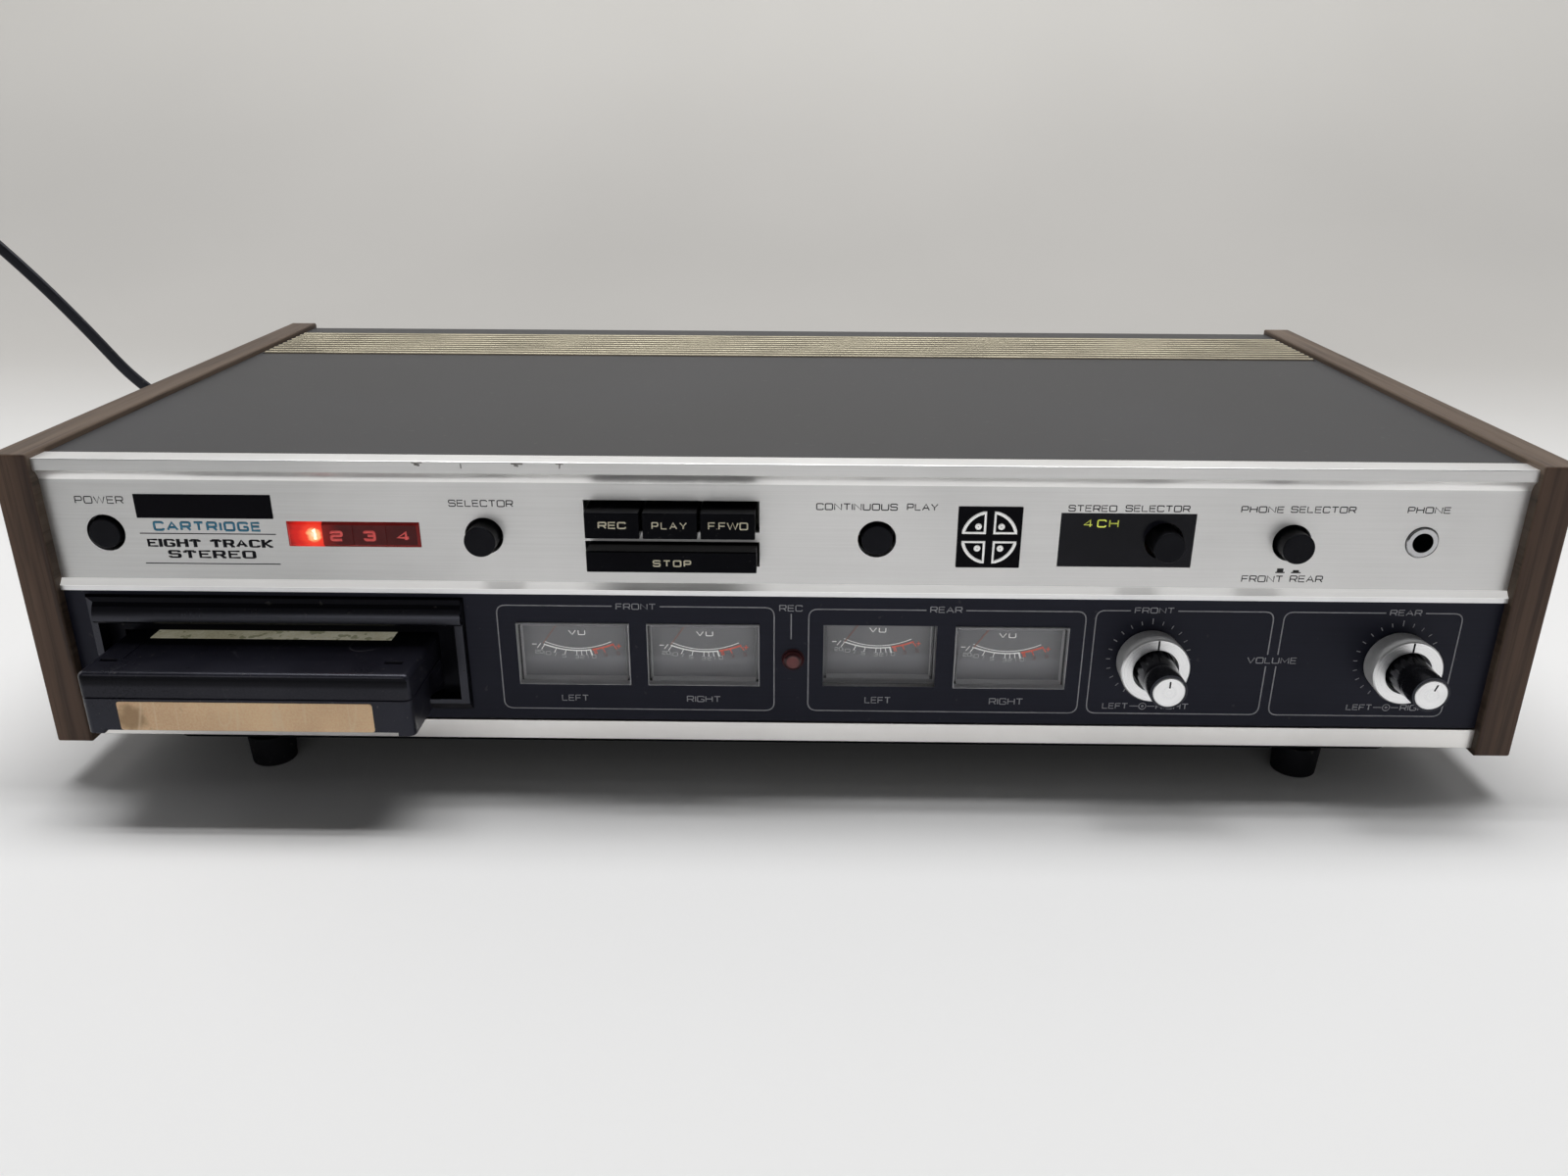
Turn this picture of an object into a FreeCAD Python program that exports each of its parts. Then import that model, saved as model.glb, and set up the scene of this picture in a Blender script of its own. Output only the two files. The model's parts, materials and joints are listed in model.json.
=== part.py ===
import FreeCAD, Part
import math
import os
from FreeCAD import Vector

# A home eight-track cartridge recorder and player with a cartridge in its slot.
# Everything is drawn in cabinet coordinates, in millimetres: x to the right of the middle,
# y back from the front edges of the wooden side panels, z up from their bottom edges.
# "publish" moves each piece into the part's own frame, whose origin is under the middle
# of the whole machine, on the surface that it stands on.

os.makedirs("parts", exist_ok=True)

# ---------------------------------------------------------------- cabinet
cabinet_width = 481.0
panel_thickness = 11.5
panel_height = 98.7
panel_depth = 237.0
foot_height = 14.0
cartridge_reach = 24.6
jack_reach = 7.6
inner = cabinet_width / 2 - panel_thickness
front_y = cartridge_reach - (cartridge_reach + panel_depth + jack_reach) / 2
running_gap = 0.05

cover_top = 96.6
cover_sheet = 1.2
cover_back = panel_depth - 1.0
cover_gap = 1.7
flange_drop = 11.0

grille_front = 171.2
grille_bars = 10
grille_pitch = 4.95
bar_width = 3.7
bar_bottom = 94.2
bar_top = 97.4
bar_half_length = 227.3
grille_ribs = 7

pan_sheet = 1.2
pan_top = 2.2
pan_front = 6.4
tray_half = 205.0
tray_front = 7.0
tray_back = 229.0
tray_bottom = -3.1
tray_round = 4.0
rear_sheet = 1.2
rear_face = 234.8

foot_xs = (-176.0, 177.4)
foot_ys = (15.8, 213.0)
foot_top_r = 7.9
foot_bottom_r = 7.2

# ---------------------------------------------------------------- front panels
fascia_face = 4.0
fascia_sheet = 2.0
lip_face = 2.0
lip_bottom = 93.3
lip_foot = 89.3
lip_top = 97.0
lip_back = 9.8
bead_face = 2.3
bead_top = 57.2
bead_edge = 55.3
fascia_bottom = 53.5
lower_face = 3.5
lower_bottom = 8.65
trim_face = 3.0
trim_top = 8.25
trim_bottom = 1.4
subframe_face = 8.0
subframe_sheet = 1.2

# controls on the upper panel
button_z = 72.5
button_r = 4.9
button_hole_r = 6.0
button_length = 16.0
button_travel = 5.0
button_out_y = -2.2
stem_r = 2.0
power_x = -211.5
selector_x = -92.5
continuous_x = 30.3
stereo_x = 119.6
phone_selector_x = 159.1
jack_x = 199.2
jack_z = 73.0
jack_face = 3.1
jack_bore_r = 3.2
jack_barrel_r = 4.6
jack_hole_r = 4.7
jack_nut_r = 4.95
jack_opening_r = 5.15
key_front = -4.0
key_back = 18.0
key_width = 16.65
key_pitch = 17.7
key_left = -59.5
key_low = 74.65
key_high = 83.1
stop_low = 63.7
stop_high = 70.6
key_travel = 4.0
key_opening = (-60.9, -6.3, 74.35, 84.6)
stop_opening = (-60.9, -6.3, 63.0, 71.2)
program_window = (-154.25, -112.5, 68.5, 76.8)
stereo_window = (86.9, 128.7, 64.0, 81.7)

# controls on the lower panel
meter_xs = (-66.6, -24.6, 32.4, 74.7)
meter_z = 32.5
meter_width = 36.4
meter_height = 21.7
meter_setbacks = (0.0, 0.0, 3.2, 0.0)
pane_front = 2.5
meter_case_width = 39.0
meter_case_low = 19.4
meter_case_high = 57.6
meter_case_back = 29.0
needle_pivot_z = 49.1
needle_length = 19.1
needle_rest = 35.6
needle_shaft_r = 0.6
dial_y = 10.5
lamp_x = 4.4
lamp_z = 31.2
lamp_r = 3.3
volume_xs = (119.15, 198.6)
volume_z = 32.5
ring_front = -5.5
ring_r = 10.9
ring_base_r = 10.4
knob_front = -20.2
knob_r = 6.6
knob_tip_r = 5.7
cap_r = 4.9
cap_front = -20.6

# ---------------------------------------------------------------- slot, cartridge, mechanism
bezel = (-222.5, -101.0, 11.9, 51.8)
bezel_lip = (-221.2, -101.6, 14.9, 51.6)
bezel_inner = (-219.0, -104.2, 16.4)
bezel_wall = 2.0
bezel_front = 1.5
bezel_back = 8.6
mouth_back = 6.9
mouth_gap = 0.6
hood_left = -219.3
hood_right = -101.6
hood_bottom = 43.2
hood_top = 51.4
hood_front = -0.7
cartridge_left = -213.35
cartridge_right = -111.75
cartridge_back = 108.4
cartridge_bottom = 16.9
cartridge_seam = 29.0
cartridge_top = 37.4
shell_wall = 1.8
seam_groove = 0.3
step_left = 5.35
step_right = 5.05
step_back = -21.4
step_height = 1.2
reel_centre = (-166.0, 24.0)
reel_r = 43.0
roller_centre = (-127.75, 92.7)
roller_r = 12.0
capstan_r = 2.5
capstan_gap = 0.3
capstan_y = roller_centre[1] + roller_r + capstan_r + capstan_gap
flywheel_r = 30.0
pulley_r = 5.0
motor_centre = (-70.0, 140.0)
motor_r = 19.0
belt_low = 6.4
belt_high = 8.8
deck_bottom = 12.5
deck_top = 14.4
cam_centre = (-162.0, 136.0)
cam_r = 11.0
cam_step = 0.8
head_x = -162.0

# ---------------------------------------------------------------- mains lead
cord_r = 3.0
relief_length = 22.0
cord_route = (
    (-190.0, 256.8, 22.0),
    (-190.0, 283.0, 22.0),
    (-208.0, 303.0, 22.0),
    (-240.0, 312.0, 22.5),
    (-283.0, 311.0, 26.0),
    (-322.0, 306.0, 34.0),
    (-352.4, 300.0, 48.5),
    (-383.0, 300.0, 89.5),
    (-411.0, 300.0, 122.0),
    (-433.0, 300.0, 143.7),
)
plug_length = 27.0
blade_length = 15.0


def box(x0, x1, y0, y1, z0, z1):
    return Part.makeBox(x1 - x0, y1 - y0, z1 - z0, Vector(x0, y0, z0))


def rod_y(x, z, r, y0, y1):
    return Part.makeCylinder(r, y1 - y0, Vector(x, y0, z), Vector(0, 1, 0))


def rod_z(x, y, r, z0, z1):
    return Part.makeCylinder(r, z1 - z0, Vector(x, y, z0), Vector(0, 0, 1))


def rod_x(y, z, r, x0, x1):
    return Part.makeCylinder(r, x1 - x0, Vector(x0, y, z), Vector(1, 0, 0))


def join(first, *others):
    return first.fuse(list(others)).removeSplitter() if others else first


def group(solids):
    return Part.makeCompound(list(solids))


def edges_where(shape, test):
    """The straight edges whose middle and direction pass the test."""
    found = []
    for edge in shape.Edges:
        if len(edge.Vertexes) == 2:
            a = edge.Vertexes[0].Point
            b = edge.Vertexes[1].Point
            middle = (a + b) * 0.5
            if test(middle, b - a):
                found.append(edge)
    return found


def publish(name, shape):
    """Checks a piece, moves it into the part's own frame and writes it."""
    moved = shape.copy()
    moved.translate(Vector(0, front_y, foot_height))
    if not moved.isValid():
        print("not valid:", name)
    moved.exportStep(f"parts/{name}.step")
    print(f"{name}: {len(moved.Solids)} solid(s), {moved.Volume / 1000:.2f} cm3")


# ================================================================ cabinet shell
def side_panel(side):
    outer = side * cabinet_width / 2
    edge = side * inner
    panel = box(min(outer, edge), max(outer, edge), 0, panel_depth, 0, panel_height)
    long_edges = edges_where(panel, lambda m, d: abs(m.x - outer) < 0.01 or m.y < 0.01 or m.z > panel_height - 0.01)
    return panel.makeFillet(0.8, long_edges)


def top_cover():
    plate = box(-inner, inner, lip_back + cover_gap, cover_back, cover_top - cover_sheet, cover_top)
    opening_back = grille_front + (grille_bars - 1) * grille_pitch + bar_width + 0.6
    plate = plate.cut(box(-inner + 1, inner - 1, grille_front - 0.6, opening_back, 90, 100))
    low = cover_top - flange_drop
    flanges = []
    for side in (-1, 1):
        x0 = min(side * inner, side * (inner - cover_sheet))
        flanges.append(box(x0, x0 + cover_sheet, lip_back + 4, rear_face - 2, low, cover_top - cover_sheet))
    flanges.append(box(-inner, inner, cover_back - cover_sheet, cover_back, low, cover_top - cover_sheet))
    cover = join(plate, *flanges)
    bend = edges_where(cover, lambda m, d: abs(m.y - cover_back) < 0.01 and m.z > cover_top - 0.01)
    return cover.makeFillet(1.0, bend)


def vent_grille():
    middle = (bar_bottom + bar_top) / 2
    bars = []
    for i in range(grille_bars):
        y0 = grille_front + i * grille_pitch
        y1 = y0 + bar_width
        crown = Part.Arc(Vector(0, y1, middle), Vector(0, (y0 + y1) / 2, bar_top), Vector(0, y0, middle)).toShape()
        sides = Part.makePolygon([Vector(0, y0, middle), Vector(0, y0, bar_bottom),
                                  Vector(0, y1, bar_bottom), Vector(0, y1, middle)])
        face = Part.Face(Part.Wire([crown] + sides.Edges))
        bar = face.extrude(Vector(2 * bar_half_length, 0, 0))
        bar.translate(Vector(-bar_half_length, 0, 0))
        bars.append(bar)
    back = grille_front + (grille_bars - 1) * grille_pitch + bar_width
    ribs = []
    for i in range(grille_ribs):
        x = -216.0 + i * 432.0 / (grille_ribs - 1)
        rib = box(x - 2, x + 2, grille_front - 4.5, back + 4.5, 92.4, bar_bottom)
        ends = [box(x - 2, x + 2, grille_front - 4.5, grille_front - 1.0, bar_bottom, cover_top - cover_sheet),
                box(x - 2, x + 2, back + 1.0, back + 4.5, bar_bottom, cover_top - cover_sheet)]
        ribs += [rib] + ends
    return join(bars[0], *(bars[1:] + ribs))


def pan_screw_places():
    return [(side * 217.0, y) for side in (-1, 1) for y in (32.0, 118.0, 205.0)]


def rear_screw_places():
    return [(x, z) for x in (-214.0, -70.0, 30.0, 214.0) for z in (12.0, 80.0)]


def bottom_pan():
    base = box(-inner, inner, pan_front, rear_face - rear_sheet, pan_top - pan_sheet, pan_top)
    tray = box(-tray_half, tray_half, tray_front, tray_back, tray_bottom, pan_top - pan_sheet)
    soft = edges_where(tray, lambda m, d: m.z < tray_bottom + 0.01 or abs(d.z) > 1)
    tray = tray.makeFillet(tray_round, soft)
    hollow = box(-tray_half + pan_sheet, tray_half - pan_sheet, tray_front + pan_sheet,
                 tray_back - pan_sheet, tray_bottom + pan_sheet, pan_top + 1)
    soft = edges_where(hollow, lambda m, d: m.z < tray_bottom + pan_sheet + 0.01 or abs(d.z) > 1)
    hollow = hollow.makeFillet(tray_round - pan_sheet, soft)
    flanges = [box(-inner, inner, pan_front, pan_front + pan_sheet, pan_top, trim_top - 0.3),
               box(-inner, inner, rear_face - 2 * rear_sheet, rear_face - rear_sheet, pan_top, 15.0)]
    for side in (-1, 1):
        x0 = min(side * inner, side * (inner - pan_sheet))
        flanges.append(box(x0, x0 + pan_sheet, 24.0, rear_face - rear_sheet, pan_top, 15.0))
    pan = join(base, tray, *flanges).cut(hollow)
    holes = [rod_z(x, y, 1.6, -1, 4) for x, y in pan_screw_places()]
    holes += [rod_z(x, y, 1.6, -5, 4) for x in foot_xs for y in foot_ys]
    rear_holes = [rod_y(x, z, 1.6, 230, 236) for x, z in rear_screw_places() if z < 20]
    return pan.cut(holes + rear_holes)


def rubber_feet():
    feet = []
    for x in foot_xs:
        for y in foot_ys:
            foot = Part.makeCone(foot_bottom_r, foot_top_r, foot_height + tray_bottom, Vector(x, y, -foot_height))
            foot = foot.makeFillet(0.6, [e for e in foot.Edges if e.BoundBox.ZMax < -foot_height + 0.01])
            foot = foot.cut([rod_z(x, y, 3.2, -foot_height - 1, -foot_height + 6), rod_z(x, y, 1.6, -foot_height, 0)])
            feet.append(foot)
    return group(feet)


jack_columns = (66.0, 88.0, 122.0, 144.0)
jack_rows = (34.0, 58.0)
relief_x = cord_route[0][0]
relief_z = cord_route[0][2]


def rear_panel():
    plate = box(-inner, inner, rear_face - rear_sheet, rear_face, pan_top, cover_top - cover_sheet)
    holes = [rod_y(relief_x, relief_z, 5.0, 230, 240)]
    holes += [rod_y(x, z, 5.0, 230, 240) for x in jack_columns for z in jack_rows]
    holes += [rod_y(x, z, 1.6, 230, 240) for x, z in rear_screw_places()]
    slots = [box(x, x + 3, 230, 240, 30, 70) for x in [-150 + 9 * i for i in range(8)]]
    return plate.cut(holes + slots)


def case_screws():
    screws = []
    for x, y in pan_screw_places():
        head = rod_z(x, y, 3.0, pan_top - pan_sheet - 1.6, pan_top - pan_sheet)
        screws.append(join(head, rod_z(x, y, 1.45, pan_top - pan_sheet, 9.0)))
    for x, z in rear_screw_places():
        head = rod_y(x, z, 3.0, rear_face, rear_face + 1.6)
        screws.append(join(head, rod_y(x, z, 1.45, rear_face - 7.0, rear_face)))
    for x in foot_xs:
        for y in foot_ys:
            head = rod_z(x, y, 2.9, -foot_height + 3.6, -foot_height + 6.0)
            screws.append(join(head, rod_z(x, y, 1.45, -foot_height + 6.0, 1.6)))
    return group(screws)


publish("side_panel_left", side_panel(-1))
publish("side_panel_right", side_panel(1))
publish("top_cover", top_cover())
publish("vent_grille", vent_grille())
publish("bottom_pan", bottom_pan())
publish("rubber_feet", rubber_feet())
publish("rear_panel", rear_panel())
publish("case_screws", case_screws())


# ================================================================ front panels
def upper_fascia():
    back = fascia_face + fascia_sheet
    bead = Part.Arc(Vector(0, bead_face, bead_edge), Vector(0, 3.25, 56.15), Vector(0, fascia_face, bead_top)).toShape()
    round_r = ((fascia_face - lip_face) ** 2 + (lip_bottom - lip_foot) ** 2) / (2 * (fascia_face - lip_face))
    turn = math.asin((lip_bottom - lip_foot) / round_r) / 2
    under = Part.Arc(Vector(0, fascia_face, lip_foot),
                     Vector(0, fascia_face - round_r * (1 - math.cos(turn)), lip_foot + round_r * math.sin(turn)),
                     Vector(0, lip_face, lip_bottom)).toShape()
    face_line = Part.makePolygon([Vector(0, fascia_face, bead_top), Vector(0, fascia_face, lip_foot)])
    outline = [Vector(0, lip_face, lip_bottom), Vector(0, lip_face, lip_top),
               Vector(0, lip_back, lip_top), Vector(0, lip_back, lip_top - fascia_sheet),
               Vector(0, back, lip_top - fascia_sheet), Vector(0, back, fascia_bottom),
               Vector(0, bead_face, fascia_bottom), Vector(0, bead_face, bead_edge)]
    face = Part.Face(Part.Wire([bead] + face_line.Edges + [under] + Part.makePolygon(outline).Edges))
    fascia = face.extrude(Vector(2 * inner, 0, 0))
    fascia.translate(Vector(-inner, 0, 0))
    along = edges_where(fascia, lambda m, d: abs(d.x) > 1 and m.z > lip_top - 0.01 and m.y < lip_face + 0.01)
    fascia = fascia.makeFillet(0.35, along)
    along = edges_where(fascia, lambda m, d: abs(d.x) > 1 and m.y < bead_face + 0.01 and m.z < bead_edge + 0.01)
    fascia = fascia.makeFillet(0.2, along)
    holes = [rod_y(x, button_z, button_hole_r, 0, 10)
             for x in (power_x, selector_x, continuous_x, phone_selector_x)]
    holes.append(rod_y(jack_x, jack_z, jack_opening_r, 0, 10))
    for x0, x1, z0, z1 in (key_opening, stop_opening, program_window, stereo_window):
        holes.append(box(x0, x1, 0, 10, z0, z1))
    return fascia.cut(holes)


def lower_fascia():
    plate = box(-inner, inner, lower_face, lower_face + fascia_sheet, lower_bottom, fascia_bottom)
    x0, x1, z0, z1 = bezel
    w = bezel_wall
    holes = [box(x0 + w, x1 - w, 0, 10, z0 + w, z1 - w)]
    for x in meter_xs:
        holes.append(box(x - meter_width / 2, x + meter_width / 2, 0, 10,
                         meter_z - meter_height / 2, meter_z + meter_height / 2))
    holes.append(rod_y(lamp_x, lamp_z, lamp_r, 0, 10))
    holes += [rod_y(x, volume_z, 4.8, 0, 10) for x in volume_xs]
    return plate.cut(holes)


def bottom_trim():
    strip = box(-inner, inner, trim_face, pan_front, trim_bottom, trim_top)
    strip = strip.makeFillet(0.25, edges_where(strip, lambda m, d: abs(d.x) > 1 and m.y < trim_face + 0.01))
    return strip.cut(box(-inner - 1, inner + 1, trim_face + 1.6, pan_front - 1.0, trim_bottom - 1, trim_top - 1.6))


def slot_bezel():
    x0, x1, z0, z1 = bezel
    w = bezel_wall
    rings = []
    for y, (a, b, c, d) in ((lower_face, bezel), (bezel_front, bezel_lip)):
        corners = ((a, c), (b, c), (b, d), (a, d), (a, c))
        rings.append(Part.makePolygon([Vector(x, y, z) for x, z in corners]))
    outer = Part.makeLoft(rings, True, True)
    collar = box(x0 + w, x1 - w, lower_face, bezel_back, z0 + w, z1 - w)
    mouth = box(bezel_inner[0], bezel_inner[1], 0, mouth_back, bezel_inner[2], hood_bottom)
    aperture = box(cartridge_left - mouth_gap, cartridge_right + mouth_gap, 0, 12,
                   cartridge_bottom - mouth_gap, cartridge_top + mouth_gap)
    line = [Vector(0, lower_face, hood_top), Vector(0, lower_face, hood_bottom),
            Vector(0, hood_front + 0.8, hood_bottom), Vector(0, hood_front, hood_bottom + 0.9)]
    swell = Part.Arc(line[-1], Vector(0, hood_front + 0.55, hood_bottom + 4.2), line[0]).toShape()
    hood = Part.Face(Part.Wire(Part.makePolygon(line).Edges + [swell]))
    hood = hood.extrude(Vector(hood_right - hood_left, 0, 0))
    hood.translate(Vector(hood_left, 0, 0))
    return join(join(outer, collar).cut([mouth, aperture]), hood)


def front_subframe():
    y0 = subframe_face
    y1 = subframe_face + subframe_sheet
    plate = box(-inner, inner, y0, y1, pan_top, 92.6)
    top = box(-inner + 1.6, inner - 1.6, y0, y0 + 16, 91.4, 92.6)
    wings = [box(min(s * inner, s * (inner - 1.2)), max(s * inner, s * (inner - 1.2)), y0, y0 + 14, 16, 84)
             for s in (-1, 1)]
    studs = [rod_y(x, z, 2.5, fascia_face + fascia_sheet, y0)
             for x in (-222.0, -165.0, -75.0, 65.0, 180.0, 222.0) for z in (60.5, 89.0)]
    studs += [rod_y(x, z, 2.0, lower_face + fascia_sheet, y0)
              for x in (-97.0, 98.8, 158.8, 222.0) for z in (11.0, 47.5)]
    holes = [rod_y(x, button_z, button_hole_r + 0.2, 0, 20)
             for x in (power_x, selector_x, continuous_x, stereo_x, phone_selector_x)]
    holes.append(rod_y(jack_x, jack_z, jack_hole_r, 0, 20))
    holes += [rod_y(x, volume_z, 4.8, 0, 20) for x in volume_xs]
    holes.append(rod_y(lamp_x, lamp_z, 4.6, 0, 20))
    for a, b, c, d in (key_opening, stop_opening):
        holes.append(box(a - 0.6, b + 0.6, 0, 20, c - 0.6, d + 0.6))
    a, b, c, d = program_window
    holes.append(box(a - 1.2, b + 1.2, 0, 20, c - 1.2, d + 1.2))
    holes.append(box(bezel[0] + 1.6, bezel[1] - 1.6, 0, 20, pan_top + 7, bezel[3] - 1.6))
    for x in meter_xs:
        half = meter_case_width / 2
        holes.append(box(x - half, x + half, 0, 20, meter_case_low, meter_case_high))
    return join(plate, top, *(wings + studs)).cut(holes)


def program_lens():
    x0, x1, z0, z1 = program_window
    front = box(x0, x1, fascia_face - 0.7, fascia_face + fascia_sheet, z0, z1)
    rim = [e for e in front.Edges if e.BoundBox.YMax < fascia_face - 0.69]
    front = front.makeChamfer(0.9, rim)
    flange = box(x0 - 1.2, x1 + 1.2, fascia_face + fascia_sheet, subframe_face, z0 - 1.2, z1 + 1.2)
    cell = (x1 - x0) / 4
    grooves = [box(x0 + i * cell - 0.15, x0 + i * cell + 0.15, fascia_face - 1, fascia_face - 0.5, z0 + 0.9, z1 - 0.9)
               for i in (1, 2, 3)]
    return join(front, flange).cut(grooves)


def program_lamps():
    x0, x1, z0, z1 = program_window
    x0, x1, z0, z1 = x0 - 1.2, x1 + 1.2, z0 - 1.2, z1 + 1.2
    cell = (x1 - x0) / 4
    holder = box(x0, x1, subframe_face, 26.0, z0, z1)
    bulbs = []
    cells = []
    for i in range(4):
        x = x0 + (i + 0.5) * cell
        cells.append(box(x - cell / 2 + 0.6, x + cell / 2 - 0.6, subframe_face - 1, 23.0, z0 + 1, z1 - 1))
        bulbs.append(join(rod_y(x, (z0 + z1) / 2, 2.2, 13.0, 22.0), rod_y(x, (z0 + z1) / 2, 3.0, 20.0, 23.0)))
    return group([holder.cut(cells)] + bulbs)


def stereo_window_plate():
    x0, x1, z0, z1 = stereo_window
    front = box(x0, x1, fascia_face + 0.4, fascia_face + fascia_sheet, z0, z1)
    flange = box(x0 - 1.5, x1 + 1.5, fascia_face + fascia_sheet, subframe_face, z0 - 1.5, z1 + 1.5)
    return join(front, flange).cut(rod_y(stereo_x, button_z, button_hole_r, 0, 20))


def phone_jack():
    barrel = rod_y(jack_x, jack_z, jack_barrel_r, jack_face + 0.3, 12.0)
    body = box(jack_x - 7, jack_x + 7, subframe_face + subframe_sheet, 38, jack_z - 8, jack_z + 8)
    jack = join(barrel, body).cut(rod_y(jack_x, jack_z, jack_bore_r, 2, 36))
    nut = rod_y(jack_x, jack_z, jack_nut_r, jack_face, subframe_face)
    nut = nut.makeFillet(0.7, [e for e in nut.Edges if e.BoundBox.YMax < jack_face + 0.01])
    nut = nut.cut(rod_y(jack_x, jack_z, jack_barrel_r, 2, 9))
    leaves = [box(jack_x + s * 4 - 0.3, jack_x + s * 4 + 0.3, 38, 45, jack_z - 3, jack_z + 3) for s in (-1, 0, 1)]
    return group([jack, nut] + leaves)


def rec_lamp():
    lens = rod_y(lamp_x, lamp_z, lamp_r, 1.0, 7.4)
    lens = lens.makeFillet(1.6, [e for e in lens.Edges if e.BoundBox.YMax < 1.01])
    collar = rod_y(lamp_x, lamp_z, 4.3, lower_face + fascia_sheet, 7.4)
    lens = join(lens, collar)
    holder = rod_y(lamp_x, lamp_z, 4.55, 7.4, 24).cut(rod_y(lamp_x, lamp_z, 3.2, 7, 22))
    bulb = rod_y(lamp_x, lamp_z, 2.2, 12, 22)
    return group([lens, holder, bulb])


publish("upper_fascia", upper_fascia())
publish("lower_fascia", lower_fascia())
publish("bottom_trim", bottom_trim())
publish("slot_bezel", slot_bezel())
publish("front_subframe", front_subframe())
publish("program_lens", program_lens())
publish("program_lamps", program_lamps())
publish("stereo_window", stereo_window_plate())
publish("phone_jack", phone_jack())
publish("rec_lamp", rec_lamp())


# ================================================================ level meters
def vu_cases():
    solids = []
    half = meter_case_width / 2
    for x, back in zip(meter_xs, meter_setbacks):
        case = box(x - half, x + half, 7.2 + back, meter_case_back + back, meter_case_low, meter_case_high)
        case = case.cut(box(x - half + 1.2, x + half - 1.2, 7, meter_case_back + back - 1.2,
                            meter_case_low + 1.2, meter_case_high - 1.2))
        dial = box(x - half + 1.2, x + half - 1.2, dial_y + back, dial_y + back + 0.6,
                   meter_case_low + 1.2, meter_case_high - 1.2)
        dial = dial.cut(rod_y(x, needle_pivot_z, 1.2, 8, 20))
        magnet = rod_y(x, needle_pivot_z, 5.2, 14 + back, meter_case_back + back - 1.2)
        magnet = magnet.cut([rod_y(x, needle_pivot_z, 2.6, 13 + back, 24.5 + back),
                             rod_y(x, needle_pivot_z, needle_shaft_r + running_gap, 24 + back,
                                   meter_case_back + back - 1.5)])
        solids += [case, dial, magnet]
    return group(solids)


def vu_covers():
    covers = []
    half = meter_case_width / 2
    wall = 1.2
    for x, back in zip(meter_xs, meter_setbacks):
        x0, x1 = x - meter_width / 2 + running_gap, x + meter_width / 2 - running_gap
        z0, z1 = meter_z - meter_height / 2 + running_gap, meter_z + meter_height / 2 - running_gap
        front = pane_front + back
        pane = box(x0, x1, front, 6.2 + back, z0, z1)
        pane = pane.makeFillet(0.3, [e for e in pane.Edges if e.BoundBox.YMax < front + 0.01])
        flange = box(x - half, x + half, 6.05 + back, 7.2 + back, meter_case_low, meter_case_high)
        hollow = box(x0 + wall, x1 - wall, front + wall, 8 + back, z0 + wall, z1 - wall)
        top_hollow = box(x0 + wall, x1 - wall, 6.6 + back, 8 + back, z1 - wall - 1, meter_case_high - 3)
        covers.append(join(pane, flange).cut([hollow, top_hollow]))
    return group(covers)


def vu_needle(x, back):
    angle = math.radians(needle_rest)
    shaft = rod_y(x, needle_pivot_z, needle_shaft_r, 7.9 + back, meter_case_back + back - 1.8)
    coil = rod_y(x, needle_pivot_z, 2.0, 15.0 + back, 23.0 + back)
    arm = box(x - 0.13, x + 0.13, 8.9 + back, 9.25 + back, needle_pivot_z - needle_length, needle_pivot_z)
    tail = box(x - 0.5, x + 0.5, 8.8 + back, 9.4 + back, needle_pivot_z, needle_pivot_z + 3.6)
    needle = join(arm, tail)
    needle.rotate(Vector(x, 0, needle_pivot_z), Vector(0, 1, 0), math.degrees(angle))
    hub = rod_y(x, needle_pivot_z, 1.1, 8.6 + back, 9.6 + back)
    return join(shaft, coil, hub, needle)


publish("vu_cases", vu_cases())
publish("vu_covers", vu_covers())
meter_labels = ("front_left", "front_right", "rear_left", "rear_right")
for label, x, back in zip(meter_labels, meter_xs, meter_setbacks):
    publish(f"vu_needle_{label}", vu_needle(x, back))


# ================================================================ buttons and keys
def push_button(x, pressed):
    front = button_out_y + (button_travel if pressed else 0)
    cap = rod_y(x, button_z, button_r, front, front + button_length)
    cap = cap.makeFillet(0.5, [e for e in cap.Edges if e.BoundBox.YMax < front + 0.01])
    return join(cap, rod_y(x, button_z, stem_r, front + button_length, front + button_length + 20))


buttons = {
    "power_button": (power_x, True),
    "selector_button": (selector_x, False),
    "continuous_play_button": (continuous_x, True),
    "stereo_selector_button": (stereo_x, False),
    "phone_selector_button": (phone_selector_x, False),
}
for name, (x, pressed) in buttons.items():
    publish(name, push_button(x, pressed))


def button_switches():
    switches = []
    for x, _ in buttons.values():
        body = box(x - 7, x + 7, 25, 52, button_z - 6, button_z + 6)
        body = body.cut(rod_y(x, button_z, stem_r + running_gap, 24, 50))
        bridge = [box(x + s * 8.6 - 1.6, x + s * 8.6 + 1.6, subframe_face + subframe_sheet, 40,
                      button_z - 4, button_z + 4) for s in (-1, 1)]
        terminals = [box(x - 5 + 3 * i, x - 4 + 3 * i, 52, 57, button_z - 2, button_z + 2) for i in range(4)]
        switches += [join(body, *bridge)] + terminals
    return group(switches)


key_names = ("rec_key", "play_key", "fast_forward_key")
key_slots = []
for i in range(len(key_names)):
    x0 = key_left + i * key_pitch
    key_slots.append((x0, x0 + key_width, key_low, key_high, 5.0))
key_slots.append((key_left, key_opening[1] - 0.7, stop_low, stop_high, 14.0))


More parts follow.
